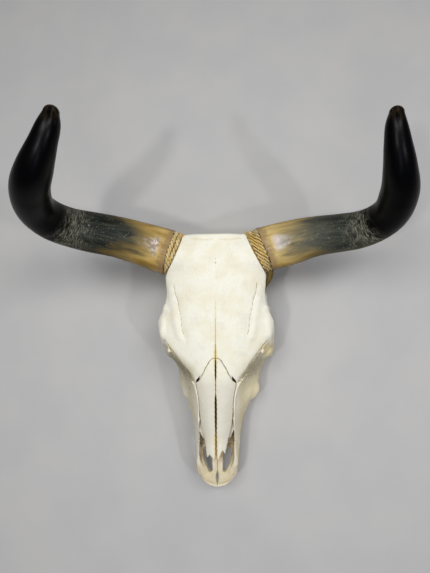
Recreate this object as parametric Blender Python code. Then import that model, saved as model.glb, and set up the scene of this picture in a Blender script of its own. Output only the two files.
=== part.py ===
"""Life-size cattle skull without its lower jaw, with polished horns and a rope wrap
round each horn base. It lies on the floor on its rear cheek teeth and its
paracondylar processes, forehead up.

Skull frame: x to the right of the picture, s from the poll towards the muzzle,
h up from the forehead plane. World frame: y = -s, tilted by REST_TILT about x.
"""
import math

import bmesh
import bpy
import numpy as np
import openvdb as vdb

MM = 0.001

# Driving dimensions, millimetres in the skull frame
SUTURE_GAP = 0.4
NASAL_THICKNESS = 5.0
NASAL_SLIT = 1.4
TOOTH_CROWN = 24.0
TOOTH_LENGTHS = (27, 28, 25, 21, 19, 17)
ALVEOLAR_HEIGHT = -141.0
ROOT_HEIGHT = -118.0
OCCLUSAL_SLOPE = 0.070
ORBIT_CENTRE = (104, 179, -58)
ORBIT_RADII = (35, 33)
ORBIT_LEAN = 3.0
ORBIT_RIM = 5.5
ROPE_BORE = 38.5
ROPE_RIDGE = 2.0
SEAT_REACH = 54.0
SEAT_RISE = 6.0
CLEARANCE_RADIUS = 68.0
CLEARANCE_LENGTH = 150.0
TIP_POINT = 0.55
BASE_BLEND = 62.0

# How the skull rests: turned about x, then moved so that the floor is z = 0
REST_TILT = math.radians(3.62)
REST_SHIFT = (-7.35, 181.0, 177.75)

# Fineness of the meshes
GRID = 3.3
GRID_LOW = (0, -20, -184)
GRID_HIGH = (128, 516, 12)
SKULL_TRIANGLES = 5200
HORN_RINGS = 17
HORN_SIDES = 16
WRAP_SIDES = 22
CUTTER_SIDES = 24
SHARP_ANGLE = math.radians(40)
WELD = 0.00002
BEYOND = 600.0
ROUND = (1.0, 1.0, 1.0)

# Dorsal surface along the skull: s, midline h, edge half-width, drop at the edge, power
TOP = np.array([
    (-14, -7, 68, 16, 3.0),
    (4, -1, 74, 18, 3.0),
    (30, 0, 84, 18, 3.2),
    (52, 1, 94, 21, 3.2),
    (79, 1, 100, 25, 3.2),
    (118, -1, 97, 21, 3.2),
    (150, -2, 104, 22, 2.8),
    (176, -3, 115.5, 25, 2.6),
    (206, -4, 101, 20, 2.4),
    (232, -5, 82, 17, 2.2),
    (263, -7, 59.5, 12, 2.2),
    (291, -9, 40, 9, 2.2),
    (311, -11, 36.5, 11, 2.1),
    (345, -15, 33, 13, 2.0),
    (380, -19, 30, 14, 2.0),
    (420, -25, 22, 9, 2.0),
    (450, -30, 16, 6, 2.0),
    (520, -42, 12, 4, 2.0),
], dtype=float)

# Flank and underside of the half section at each station, below the dorsal edge
FLANK = {
    4: [(70, -36), (68, -56), (74, -78), (94, -96), (90, -120), (58, -133), (22, -137), (0, -136)],
    30: [(76, -38), (68, -58), (74, -80), (104, -98), (96, -122), (62, -134), (24, -138), (0, -136)],
    52: [(84, -40), (64, -58), (66, -80), (102, -100), (92, -122), (58, -134), (24, -139), (0, -138)],
    79: [(94, -38), (64, -54), (60, -80), (74, -102), (72, -118), (48, -132), (20, -138), (0, -138)],
    118: [(93, -34), (66, -50), (57, -78), (55, -102), (48, -119), (30, -130), (14, -134), (0, -134)],
    150: [(100, -36), (68, -48), (47, -72), (43, -98), (37, -115), (25, -125), (12, -127), (0, -126)],
    176: [(108, -38), (70, -46), (43, -66), (42, -92), (40, -112), (29, -121), (12, -122), (0, -120)],
    206: [(109, -46), (113, -66), (116, -82), (104, -98), (74, -107), (58, -124), (24, -120), (0, -113)],
    232: [(93, -44), (104, -66), (108, -82), (100, -98), (73, -108), (66, -128), (32, -118), (0, -113)],
    263: [(70, -40), (81, -64), (91, -86), (91, -98), (74, -110), (66, -137), (36, -120), (0, -114)],
    291: [(53, -38), (66, -64), (81, -90), (82, -101), (69, -113), (64, -139), (36, -120), (0, -115)],
    311: [(48, -42), (61, -68), (77, -93), (79, -102), (67, -114), (61, -139), (34, -120), (0, -115)],
    345: [(44, -46), (53, -66), (60.5, -88), (63.5, -101), (59.5, -115), (54, -134), (30, -119), (0, -114)],
    380: [(38, -50), (45, -68), (50, -86), (51, -98), (49, -108), (40, -117), (22, -112), (0, -107)],
    420: [(31, -50), (39, -64), (44, -78), (47, -90), (44, -99), (32, -107), (18, -104), (0, -100)],
    450: [(29, -58), (38, -70), (43, -81), (45, -90), (42, -97), (29, -102), (16, -100), (0, -97)],
    520: [(30, -70), (38, -80), (43, -86), (45, -91), (41, -96), (28, -100), (14, -99), (0, -97)],
}

# Nasal cavity half section at each station
CAVITY = {
    236: [(0, -24), (12, -25), (26, -38), (32, -60), (28, -84), (0, -92)],
    262: [(0, -14), (20, -19), (38, -42), (44, -66), (40, -90), (0, -98)],
    291: [(0, -12), (33, -21), (45, -46), (50, -70), (44, -94), (0, -100)],
    311: [(0, -13), (31, -23), (42, -46), (48, -70), (44, -94), (0, -100)],
    345: [(0, -17), (28, -29), (38, -48), (43, -70), (41, -92), (0, -99)],
    380: [(0, -21), (28, -29), (33.5, -46), (39, -70), (39, -88), (0, -94)],
    420: [(0, -10), (20, -20), (31, -50), (38, -72), (37, -86), (0, -90)],
    450: [(0, -10), (20, -20), (29, -58), (34, -76), (32, -86), (0, -90)],
    486: [(0, -20), (16, -30), (19, -62), (22, -78), (20, -86), (0, -88)],
    520: [(0, -20), (14, -30), (16, -62), (18, -78), (16, -86), (0, -88)],
}

CAVITY_ENDS = (238, 486)

# Back of the skull seen from the side: h, s
NUCHAL_LINE = np.array([
    (-260, 52), (-175, 50), (-150, 47), (-120, 40), (-90, 27), (-60, 13), (-30, 4), (-6, -2), (40, -3),
], dtype=float)
NUCHAL_DISH = 0.0011

# Front of the muzzle seen from above: s, half-width
MUZZLE_PLAN = np.array([
    (300, 200), (440, 60), (458, 48.5), (470, 44.5), (482, 40.5), (492, 34.5), (501, 27), (506.5, 19.5),
    (509.3, 10), (510.5, 0.5),
], dtype=float)

# Rim of the nasal opening seen from the side: s, h
NASAL_OPENING = np.array([
    (300, 40), (360, 10), (379, -34), (409, -50), (430, -62), (448, -73), (462, -79), (476, -83),
    (488, -85), (520, -87),
], dtype=float)

# Cheek teeth from the rear: s, middle x, half-width
TOOTH_LINE = np.array([(214, 56, 12.5), (260, 59, 12.3), (300, 57, 12), (351, 49, 9)], dtype=float)

# Lumps of bone: centre, radii, fillet
LUMPS = {
    "nuchal_tuber": ((0, 14, -62), (20, 12, 16), 10),
    "condyle": ((31, 36, -128), (19, 19, 21), 6),
    "tympanic_bulla": ((44, 88, -132), (13, 17, 13), 5),
    "jaw_joint": ((92, 66, -104), (16, 18, 14), 8),
    "facial_tuber": ((71, 307, -101), (8.5, 22, 8), 12),
    "zygomatic_bulge": ((99, 231, -73), (9, 12, 16), 12),
}

# Bars of bone: (x, s, h, radius) points, stretch of the round section, fillet
BARS = {
    "horn_pedicle": ([(44, 43, -40, 41), (112, 30, -36, 38)], ROUND, 16),
    "paracondylar_process": ([(72, 58, -116, 13), (64, 57, -148, 9), (59, 59, -170, 5.5)], ROUND, 8),
    "zygomatic_arch": ([(70, 84, -99, 11), (88, 90, -94, 9.5), (98, 112, -88, 8.5), (101, 138, -86, 8),
                        (106, 160, -92, 8.5), (113, 184, -93, 10), (108, 212, -88, 12)],
                       (0.75, 1.0, 1.2), 6),
    "postorbital_bar": ([(97, 146, -30, 8), (104, 147, -56, 6.5), (103, 151, -84, 8)], ROUND, 6),
    "pterygoid_plate": ([(19, 214, -126, 5), (18, 178, -136, 4), (19, 140, -143, 4), (22, 118, -136, 4)],
                        (0.8, 1.0, 4.0), 4),
}

# Hollows cut from the bone, in the same form
HOLLOWS = {
    "orbit": ([(132, 184, -58, 33), (66, 172, -66, 20)], ROUND, 4),
    "foramen_magnum": ([(0, -20, -122, 19), (0, 70, -116, 15)], ROUND, 4),
    "choana": ([(0, 80, -160, 13), (0, 150, -140, 13), (0, 216, -124, 13), (0, 262, -92, 10)],
               (1.0, 1.0, 1.3), 4),
    "supraorbital_groove": ([(77, 106, 3.5, 7), (71, 150, 2.5, 9), (64.5, 192, 0.5, 9), (57, 226, 0, 7)],
                            ROUND, 6),
    "palatine_fissure": ([(21, 438, -87, 8.5), (19, 458, -87, 8), (14.5, 477, -87, 4)],
                         (1.0, 1.0, 8.3), 2),
    "incisive_slit": ([(0, 483, -87, 1.8), (0, 491, -87, 2.8), (0, 500, -87, 1.8)], (1.0, 1.0, 8.3), 1),
}

# Plan outline of one nasal bone: half-width of its outer edge along s
NASAL_EDGE = np.array([
    (243, 6), (246, 10), (253, 14.5), (262, 20), (270, 23.5), (280, 29.6), (287, 34.6), (291, 39.4),
    (297, 39), (311, 36), (330, 33.5), (350, 32), (370, 30), (388, 27), (402, 23.4), (415, 20.8),
    (424, 18.6), (432, 17), (440, 15),
], dtype=float)
NASAL_END = np.array([(0, 437), (0.22, 439), (0.42, 430), (0.6, 422), (0.8, 425), (1, 428)], dtype=float)
LEFT_END_LONGER = np.array([(0, 0), (0.25, 0), (0.6, 8.5), (1, 8.5)], dtype=float)

# Side-view lines (s, h) that part the bones
CRANIUM_MAXILLA = [(296, BEYOND), (291, -20), (264, -58), (238, -98), (208, -120), (204, -BEYOND)]
MAXILLA_PREMAXILLA = [(388, BEYOND), (398, -42), (424, -84), (438, -BEYOND)]

# Rope wraps: horn-base direction, turns, width at the poll side and at the muzzle side
WRAP_LEFT = ((-34.0, -9.9, 3.5), 2, 18.5, 8.0)
WRAP_RIGHT = ((28.5, -11.4, -0.2), 5, 25.7, 16.0)

# Horn centre lines: x, s, h and diameter, from the rope outwards
HORN_LEFT = np.array([
    (-96.7, 31.1, -38.0, 95.5),
    (-127.0, 22.0, -23.0, 90.5),
    (-185.0, 7.5, 9.0, 81.0),
    (-241.5, -0.2, 36.5, 77.0),
    (-267.5, -4.4, 52.0, 73.5),
    (-288.5, -9.8, 80.0, 71.0),
    (-300.3, -21.5, 122.0, 66.0),
    (-286.5, -38.5, 173.0, 63.5),
    (-256.3, -60.9, 218.9, 55.0),
    (-234.8, -88.6, 239.9, 42.0),
    (-222.0, -117.0, 247.9, 31.5),
    (-219.8, -127.8, 248.6, 24.0),
])
HORN_RIGHT = np.array([
    (97.9, 25.8, -41.0, 93.0),
    (155.5, 13.5, -24.5, 87.5),
    (185.5, 7.7, -14.5, 80.0),
    (243.5, 2.6, 5.0, 72.5),
    (271.0, 0.6, 17.5, 70.0),
    (295.0, -5.0, 40.0, 66.5),
    (313.5, -18.0, 75.0, 63.5),
    (315.0, -39.0, 111.6, 62.0),
    (301.8, -69.8, 157.1, 51.0),
    (291.8, -99.1, 179.4, 40.6),
    (286.8, -127.5, 190.6, 29.5),
    (287.2, -138.8, 192.0, 22.5),
])


def pchip(knots, values, at):
    """Shape-keeping cubic through the knots; values may have several columns."""
    knots = np.asarray(knots, dtype=float)
    values = np.asarray(values, dtype=float)
    columns = values.reshape(len(knots), -1)
    step = np.diff(knots)[:, None]
    slope = np.diff(columns, axis=0) / step
    tangent = np.zeros_like(columns)
    tangent[0] = slope[0]
    tangent[-1] = slope[-1]
    same = slope[:-1] * slope[1:] > 0
    weight_a = 2 * step[1:] + step[:-1]
    weight_b = step[1:] + 2 * step[:-1]
    safe_a = np.where(same, slope[:-1], 1.0)
    safe_b = np.where(same, slope[1:], 1.0)
    mean = (weight_a + weight_b) / (weight_a / safe_a + weight_b / safe_b)
    tangent[1:-1] = np.where(same, mean, 0.0)
    at = np.clip(np.asarray(at, dtype=float), knots[0], knots[-1])
    index = np.clip(np.searchsorted(knots, at, side="right") - 1, 0, len(knots) - 2)
    span = step[index, 0]
    t = ((at - knots[index]) / span)[..., None]
    span = span[..., None]
    start = columns[index]
    end = columns[index + 1]
    result = (start * (2 * t**3 - 3 * t**2 + 1) + end * (3 * t**2 - 2 * t**3)
              + span * tangent[index] * (t**3 - 2 * t**2 + t)
              + span * tangent[index + 1] * (t**3 - t**2))
    return result.reshape(at.shape + values.shape[1:])


def read(table, at):
    """The table's columns at the given values of its first column."""
    values = pchip(table[:, 0], table[:, 1:], at)
    return values[..., 0] if values.shape[-1] == 1 else values


def spline(knots, values, at):
    """Catmull-Rom curve through the knots, at the given distances."""
    slopes = np.gradient(values, knots, axis=0)
    index = np.clip(np.searchsorted(knots, at, side="right") - 1, 0, len(knots) - 2)
    span = (knots[index + 1] - knots[index])[:, None]
    t = ((at - knots[index])[:, None]) / span
    return (values[index] * (2 * t**3 - 3 * t**2 + 1) + values[index + 1] * (3 * t**2 - 2 * t**3)
            + span * slopes[index] * (t**3 - 2 * t**2 + t) + span * slopes[index + 1] * (t**3 - t**2))


def top_height(x, s):
    """Height of the dorsal surface over the plan point."""
    mid, edge, drop, power = np.moveaxis(read(TOP, s), -1, 0)
    return mid - drop * np.power(np.clip(np.abs(x) / edge, 0, 1.6), power)


def smooth_min(a, b, k):
    """Union of two fields with a fillet of size k."""
    blend = np.clip(0.5 + 0.5 * (b - a) / k, 0, 1)
    return b + (a - b) * blend - k * blend * (1 - blend)


def smooth_max(a, b, k):
    """Intersection of two fields with a fillet of size k."""
    return -smooth_min(-a, -b, k)


def section_curve(points, parts=4):
    """Catmull-Rom curve through each station's control points, mirrored at both ends."""
    mirror = np.array([-1.0, 1.0])
    padded = np.concatenate([points[:, 1:2] * mirror, points, points[:, -2:-1] * mirror], 1)
    curve = []
    for k in range(points.shape[1] - 1):
        p0, p1, p2, p3 = (padded[:, k + j] for j in range(4))
        for t in np.arange(parts) / parts:
            curve.append(0.5 * (2 * p1 + (p2 - p0) * t + (2 * p0 - 5 * p1 + 4 * p2 - p3) * t**2
                                + (3 * p1 - p0 - 3 * p2 + p3) * t**3))
    curve.append(points[:, -1])
    curve = np.stack(curve, 1)
    curve[..., 0] = np.maximum(curve[..., 0], 0)
    return curve


def section_field(curves, x, h):
    """Signed distance in each cross-section to its half curve."""
    nearest = None
    inside = None
    count = curves.shape[1]
    for k in range(count - 1):
        ax = curves[:, k, 0][None, :, None]
        ah = curves[:, k, 1][None, :, None]
        bx = curves[:, k + 1, 0][None, :, None]
        bh = curves[:, k + 1, 1][None, :, None]
        dx = bx - ax
        dh = bh - ah
        t = np.clip(((x - ax) * dx + (h - ah) * dh) / (dx * dx + dh * dh + 1e-9), 0, 1)
        distance = (x - ax - t * dx) ** 2 + (h - ah - t * dh) ** 2
        level = np.where(np.abs(dh) < 1e-9, 1e-9, dh)
        crossing = ((ah > h) != (bh > h)) & (x < dx * (h - ah) / level + ax)
        nearest = distance if nearest is None else np.minimum(nearest, distance)
        inside = crossing if inside is None else inside ^ crossing
    distance = np.sqrt(nearest)
    return np.where(inside, -distance, distance)


def ellipsoid(p, centre, radii):
    """Approximate distance to an ellipsoid."""
    q = [(a - c) / r for a, c, r in zip(p, centre, radii)]
    length = np.sqrt(q[0] ** 2 + q[1] ** 2 + q[2] ** 2)
    slope = np.sqrt((q[0] / radii[0]) ** 2 + (q[1] / radii[1]) ** 2 + (q[2] / radii[2]) ** 2)
    return length * (length - 1) / (slope + 1e-6)


def rod(p, start, end, radius_a, radius_b, stretch):
    """Distance to a rod whose radius changes from one end to the other."""
    d = [(b - a) / f for a, b, f in zip(start, end, stretch)]
    q = [(c - a) / f for c, a, f in zip(p, start, stretch)]
    square = d[0] ** 2 + d[1] ** 2 + d[2] ** 2
    t = np.clip((q[0] * d[0] + q[1] * d[1] + q[2] * d[2]) / square, 0, 1)
    distance = np.sqrt((q[0] - t * d[0]) ** 2 + (q[1] - t * d[1]) ** 2 + (q[2] - t * d[2]) ** 2)
    return (distance - (radius_a + t * (radius_b - radius_a))) * min(stretch)


def path(p, points, stretch, parts=3):
    """Round bar along a smooth curve through (x, s, h, radius) points."""
    points = np.asarray(points, dtype=float)
    reach = np.concatenate([[0.0], np.cumsum(np.linalg.norm(np.diff(points[:, :3], axis=0), axis=1))])
    fine = [np.linspace(a, b, parts, endpoint=False) for a, b in zip(reach[:-1], reach[1:])]
    line = pchip(reach, points, np.concatenate(fine + [reach[-1:]]))
    field = None
    for a, b in zip(line[:-1], line[1:]):
        piece = rod(p, a[:3], b[:3], a[3], b[3], stretch)
        field = piece if field is None else np.minimum(field, piece)
    return field


def sections(table, line):
    """Control points of a table of cross-sections at each place along the skull."""
    stations = sorted(table)
    return pchip(stations, np.array([table[k] for k in stations], dtype=float), line)


def face_and_vault(p):
    """Main body: lofted sections, the nuchal face and the front of the muzzle."""
    x, s, h = p
    line = s.ravel()
    edge = read(TOP[:, [0, 2]], line)
    ridge = [np.stack([edge * part, top_height(edge * part, line)], -1) for part in (0.0, 0.4, 0.75, 1.0)]
    control = np.concatenate([np.stack(ridge, 1), sections(FLANK, line)], 1)
    body = section_field(section_curve(control), x, h)
    dish = np.clip((-20 - h) / 60, 0, 1) * NUCHAL_DISH * x**2
    body = smooth_max(body, read(NUCHAL_LINE, h) + dish - s, 6)
    return smooth_max(body, (x - read(MUZZLE_PLAN, s)) * 0.75, 4)


def orbit_rim():
    """Closed bar round the eye socket."""
    points = []
    for a in np.linspace(0, 2 * math.pi, 15):
        lean = ORBIT_LEAN * math.cos(a)
        along = ORBIT_RADII[0] * math.cos(a)
        rise = ORBIT_RADII[1] * math.sin(a)
        points.append((ORBIT_CENTRE[0] + lean, ORBIT_CENTRE[1] + along, ORBIT_CENTRE[2] + rise, ORBIT_RIM))
    return points


def cheek_teeth(p):
    """The row of six cheek teeth."""
    start = TOOTH_LINE[0, 0]
    scale = (TOOTH_LINE[-1, 0] - start) / sum(TOOTH_LENGTHS)
    row = None
    position = start
    for length in TOOTH_LENGTHS:
        size = length * scale
        middle = position + size / 2
        across, half_width = read(TOOTH_LINE, middle)
        crown = ALVEOLAR_HEIGHT - TOOTH_CROWN + OCCLUSAL_SLOPE * (p[1] - start)
        tooth = smooth_max(np.abs(p[0] - across) - half_width, np.abs(p[1] - middle) - size / 2 + 0.5, 5)
        tooth = smooth_max(smooth_max(tooth, crown - p[2], 3), p[2] - ROOT_HEIGHT, 3)
        row = tooth if row is None else np.minimum(row, tooth)
        position += size
    return row


def nasal_cavity(p):
    """The airway inside the face."""
    x, s, h = p
    hollow = section_field(section_curve(sections(CAVITY, s.ravel())), x, h)
    return smooth_max(smooth_max(hollow, CAVITY_ENDS[0] - s, 12), s - CAVITY_ENDS[1], 5)


def skull_field(p):
    """Whole skull as a signed field, negative in the bone."""
    f = face_and_vault(p)
    for centre, radii, fillet in LUMPS.values():
        f = smooth_min(f, ellipsoid(p, centre, radii), fillet)
    for points, stretch, fillet in BARS.values():
        f = smooth_min(f, path(p, points, stretch), fillet)
    f = smooth_min(f, path(p, orbit_rim(), ROUND, 1), 7)
    f = smooth_min(f, cheek_teeth(p), 3)
    for points, stretch, fillet in HOLLOWS.values():
        f = smooth_max(f, -path(p, points, stretch), fillet)
    f = smooth_max(f, -nasal_cavity(p), 3)
    return smooth_max(f, (p[2] - read(NASAL_OPENING, p[1])) * 0.85, 4)


def field_mesh(low, high, step):
    """Mirror the half field about the mid plane and turn it into points and faces."""
    x = np.arange(0.5, (high[0] - low[0]) / step + 1) * step
    s = np.arange(low[1], high[1] + step, step)
    h = np.arange(low[2], high[2] + step, step)
    half = skull_field((x[:, None, None], s[None, :, None], h[None, None, :]))
    whole = np.concatenate([half[::-1], half], 0).astype(np.float32)
    whole = np.clip(whole, -3 * step, 3 * step)
    grid = vdb.FloatGrid(3.0 * step)
    grid.copyFromArray(whole)
    points, quads = grid.convertToQuads()
    points = points * step + np.array([-x[-1], s[0], h[0]])
    return points, quads


def to_world(points):
    """Skull frame to the frame of the finished part, metres."""
    points = np.asarray(points, dtype=float)
    y = -points[:, 1]
    z = points[:, 2]
    cosine = math.cos(REST_TILT)
    sine = math.sin(REST_TILT)
    turned = np.column_stack([points[:, 0], y * cosine - z * sine, y * sine + z * cosine])
    return (turned + np.array(REST_SHIFT)) * MM


def new_object(name, points, faces, material=None):
    """Closed mesh object from skull-frame points, normals outward."""
    mesh = bpy.data.meshes.new(name)
    mesh.from_pydata([tuple(v) for v in to_world(points)], [], [tuple(int(i) for i in f) for f in faces])
    edit = bmesh.new()
    edit.from_mesh(mesh)
    bmesh.ops.recalc_face_normals(edit, faces=edit.faces)
    if edit.calc_volume(signed=True) < 0:
        bmesh.ops.reverse_faces(edit, faces=edit.faces)
    edit.to_mesh(mesh)
    edit.free()
    item = bpy.data.objects.new(name, mesh)
    bpy.context.scene.collection.objects.link(item)
    if material is not None:
        mesh.materials.append(material)
        soften(mesh)
    return item


def soften(mesh):
    """Smooth shading with the real edges kept sharp."""
    mesh.shade_smooth()
    mesh.set_sharp_from_angle(angle=SHARP_ANGLE)


def settle(item):
    """Replace the mesh by the result of the object's modifiers."""
    graph = bpy.context.evaluated_depsgraph_get()
    mesh = bpy.data.meshes.new_from_object(item.evaluated_get(graph))
    item.modifiers.clear()
    item.data = mesh


def cut(item, cutter, operation):
    """Exact boolean of the object with the cutter, settled at once."""
    modifier = item.modifiers.new("cut", "BOOLEAN")
    modifier.operation = operation
    modifier.solver = "EXACT"
    modifier.object = cutter
    settle(item)


def drop_crumbs(item):
    """Keep the largest connected shell and merge coincident corners."""
    edit = bmesh.new()
    edit.from_mesh(item.data)
    bmesh.ops.remove_doubles(edit, verts=edit.verts, dist=WELD)
    bmesh.ops.dissolve_degenerate(edit, edges=edit.edges, dist=WELD)
    left = set(edit.verts)
    shells = []
    while left:
        shell = set()
        front = [left.pop()]
        while front:
            vertex = front.pop()
            shell.add(vertex)
            for edge in vertex.link_edges:
                other = edge.other_vert(vertex)
                if other in left:
                    left.discard(other)
                    front.append(other)
        shells.append(shell)
    shells.sort(key=len)
    for shell in shells[:-1]:
        bmesh.ops.delete(edit, geom=list(shell), context="VERTS")
    bmesh.ops.triangulate(edit, faces=edit.faces)
    edit.to_mesh(item.data)
    edit.free()


def prism(name, outline, inner, outer):
    """Side-view outline extruded across the skull."""
    count = len(outline)
    points = [(inner, s, h) for s, h in outline] + [(outer, s, h) for s, h in outline]
    faces = [list(range(count)), list(range(2 * count - 1, count - 1, -1))]
    for k in range(count):
        nxt = (k + 1) % count
        faces.append([k, k + count, nxt + count, nxt])
    return new_object(name, points, faces)


def floor_block(name):
    """Block whose top is the floor plane."""
    mesh = bpy.data.meshes.new(name)
    edit = bmesh.new()
    bmesh.ops.create_cube(edit, size=1.0)
    bmesh.ops.translate(edit, verts=edit.verts, vec=(0.0, 0.0, -0.5))
    edit.to_mesh(mesh)
    edit.free()
    item = bpy.data.objects.new(name, mesh)
    bpy.context.scene.collection.objects.link(item)
    return item


def sheet(name, top, bottom, material=None):
    """Closed plate between two point grids of the same shape."""
    rows, columns = top.shape[:2]
    points = np.concatenate([top.reshape(-1, 3), bottom.reshape(-1, 3)])
    lower = rows * columns
    faces = []
    for i in range(rows - 1):
        for j in range(columns - 1):
            a = i * columns + j
            b = a + columns
            faces += [[a, a + 1, b + 1], [a, b + 1, b]]
            faces += [[lower + a, lower + b + 1, lower + a + 1], [lower + a, lower + b, lower + b + 1]]
    ring = [j for j in range(columns)]
    ring += [i * columns + columns - 1 for i in range(1, rows)]
    ring += [(rows - 1) * columns + j for j in range(columns - 2, -1, -1)]
    ring += [i * columns for i in range(rows - 2, 0, -1)]
    for a, b in zip(ring, ring[1:] + ring[:1]):
        faces += [[a, b, b + lower], [a, b + lower, a + lower]]
    return new_object(name, points, faces, material)


def nasal_plate(name, side, clearance, material=None):
    """One nasal bone; with a clearance, the larger copy that opens its seat."""
    u, v = np.meshgrid(np.linspace(0, 1, 14), np.linspace(0, 1, 5), indexing="ij")
    start = NASAL_EDGE[0, 0]
    end = read(NASAL_END, v) + (side < 0) * read(LEFT_END_LONGER, v)
    s = start + (end - start) * u
    x = NASAL_SLIT + (read(NASAL_EDGE, s) - NASAL_SLIT) * v
    h = top_height(x, s)
    opened = clearance > 0
    x = x + clearance * v - (NASAL_SLIT + 0.5) * (1 - v) * opened
    s = s + clearance * (2 * u - 1)
    top = np.stack([side * x, s, h + NASAL_THICKNESS * opened], -1)
    bottom = np.stack([side * x, s, h - NASAL_THICKNESS - clearance], -1)
    return sheet(name, top, bottom, material)


def transport(line, first):
    """Frames carried along a centre line without twist; the first direction fades out over BASE_BLEND."""
    reach = np.concatenate([[0.0], np.cumsum(np.linalg.norm(np.diff(line, axis=0), axis=1))])
    part = np.clip(reach / BASE_BLEND, 0, 1)[:, None]
    turn = part * part * (3 - 2 * part)
    tangent = np.gradient(line, axis=0)
    tangent /= np.linalg.norm(tangent, axis=1)[:, None]
    tangent = tangent * turn + first / np.linalg.norm(first) * (1 - turn)
    tangent /= np.linalg.norm(tangent, axis=1)[:, None]
    across = np.array([0.0, 1.0, 0.0])
    frames = []
    for direction in tangent:
        across = across - direction * np.dot(across, direction)
        across /= np.linalg.norm(across)
        frames.append((across, np.cross(direction, across), direction))
    return frames


def tube(name, line, radii, around, first, material=None):
    """Closed round bar along a centre line, flat at the start, pointed at the end."""
    frames = transport(line, first)
    points = []
    for centre, radius, (across, up, _) in zip(line, radii, frames):
        for k in range(around):
            a = 2 * math.pi * k / around
            points.append(centre + radius * (math.cos(a) * across + math.sin(a) * up))
    count = len(line)
    points.append(line[-1] + frames[-1][2] * radii[-1] * TIP_POINT)
    faces = [list(range(around - 1, -1, -1))]
    for i in range(count - 1):
        for k in range(around):
            nxt = (k + 1) % around
            faces.append([i * around + k, i * around + nxt, (i + 1) * around + nxt, (i + 1) * around + k])
    last = (count - 1) * around
    for k in range(around):
        faces.append([last + k, last + (k + 1) % around, count * around])
    return new_object(name, np.array(points), faces, material)


def horn_line(stations, rings):
    """Centres and radii of the sheath, with a rounded tip."""
    reach = np.concatenate([[0.0], np.cumsum(np.linalg.norm(np.diff(stations[:, :3], axis=0), axis=1))])
    fine = spline(reach, stations, np.linspace(0, reach[-1], rings))
    centres = fine[:, :3]
    radii = fine[:, 3] / 2
    heading = centres[-1] - centres[-2]
    heading /= np.linalg.norm(heading)
    caps = []
    for turn in (0.45, 0.85, 1.2):
        caps.append((centres[-1] + heading * radii[-1] * 0.8 * math.sin(turn), radii[-1] * math.cos(turn)))
    centres = np.vstack([centres] + [c for c, _ in caps])
    return centres, np.append(radii, [r for _, r in caps])


def horn(name, stations, wrap, material):
    """Horn sheath through its stations."""
    centres, radii = horn_line(stations, HORN_RINGS)
    return tube(name, centres, radii, HORN_SIDES, np.array(wrap[0]), material)


def wrap_frame(stations, wrap):
    """Centre of the horn base and unit vectors towards the muzzle, up and out."""
    out = np.array(wrap[0])
    out /= np.linalg.norm(out)
    down = np.array([0.0, 1.0, 0.0]) - out * out[1]
    down /= np.linalg.norm(down)
    up = np.cross(down, out)
    return stations[0, :3], down, up * np.sign(up[2]), out


def ring(name, stations, wrap, profile, material=None):
    """Closed ring round the horn base; profile gives (inward, radius) points at an angle."""
    centre, down, up, out = wrap_frame(stations, wrap)
    points = []
    for k in range(WRAP_SIDES):
        a = 2 * math.pi * k / WRAP_SIDES
        radial = math.cos(a) * down + math.sin(a) * up
        width = wrap[2] - (wrap[2] - wrap[3]) * (0.5 + 0.5 * math.cos(a)) ** 3
        for inward, radius in profile(width, math.sin(a)):
            points.append(centre - out * inward + radial * radius)
    size = len(points) // WRAP_SIDES
    faces = []
    for k in range(WRAP_SIDES):
        nxt = (k + 1) % WRAP_SIDES
        for j in range(size):
            step = (j + 1) % size
            faces.append([k * size + j, nxt * size + j, nxt * size + step, k * size + step])
    return new_object(name, np.array(points), faces, material)


def rope_wrap(name, stations, wrap, material):
    """Bound rope: a ring ridged once for each turn."""
    turns = wrap[1]
    crest = stations[0, 3] / 2

    def profile(width, _):
        loop = []
        for j in range(2 * turns + 1):
            loop.append((SUTURE_GAP + width * j / (2 * turns), crest - ROPE_RIDGE * (j % 2 == 0)))
        return loop + [(SUTURE_GAP + width, ROPE_BORE), (SUTURE_GAP, ROPE_BORE)]

    return ring(name, stations, wrap, profile, material)


def rope_seat(name, stations, wrap):
    """Space the rope needs, opened outwards to bare the edge of the frontal bone."""

    def profile(width, height):
        reach = SEAT_REACH + SEAT_RISE * height
        bore = ROPE_BORE - SUTURE_GAP
        depth = 2 * SUTURE_GAP + width
        return [(-1.0, reach), (depth, reach), (depth, bore), (-1.0, bore)]

    return ring(name, stations, wrap, profile)


def horn_clearance(name, stations, wrap):
    """Block that keeps the pedicle clear of the horn sheath."""
    centre, _, _, out = wrap_frame(stations, wrap)
    start = centre - out * SUTURE_GAP
    line = np.array([start + out * CLEARANCE_LENGTH * part for part in (0.0, 0.5, 1.0)])
    return tube(name, line, [CLEARANCE_RADIUS] * len(line), CUTTER_SIDES, out)


def principled(name, colour, roughness, coat=0.0):
    """Plain material named for its slot."""
    material = bpy.data.materials.new(name)
    material.use_nodes = True
    shader = material.node_tree.nodes["Principled BSDF"]
    shader.inputs["Base Color"].default_value = (*colour, 1.0)
    shader.inputs["Roughness"].default_value = roughness
    shader.inputs["Coat Weight"].default_value = coat
    material.diffuse_color = (*colour, 1.0)
    return material


def skull_part(name, source, cutters, floor, material):
    """Copy of the whole skull cut down to one bone, flat where it meets the floor."""
    item = source.copy()
    item.data = source.data.copy()
    item.name = name
    item.data.name = name
    bpy.context.scene.collection.objects.link(item)
    for cutter, operation in cutters:
        cut(item, cutter, operation)
    cut(item, floor, "DIFFERENCE")
    drop_crumbs(item)
    item.data.materials.clear()
    item.data.materials.append(material)
    soften(item.data)
    return item


def shifted(line, gap):
    """Side-view line moved along the skull."""
    return [(s + gap, h) for s, h in line]


for old in list(bpy.data.objects):
    bpy.data.objects.remove(old, do_unlink=True)

BONE = principled("bone", (0.82, 0.76, 0.64), 0.55)
HORN = principled("horn", (0.10, 0.075, 0.05), 0.2, 0.6)
ROPE = principled("rope", (0.55, 0.38, 0.18), 0.85)

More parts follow.
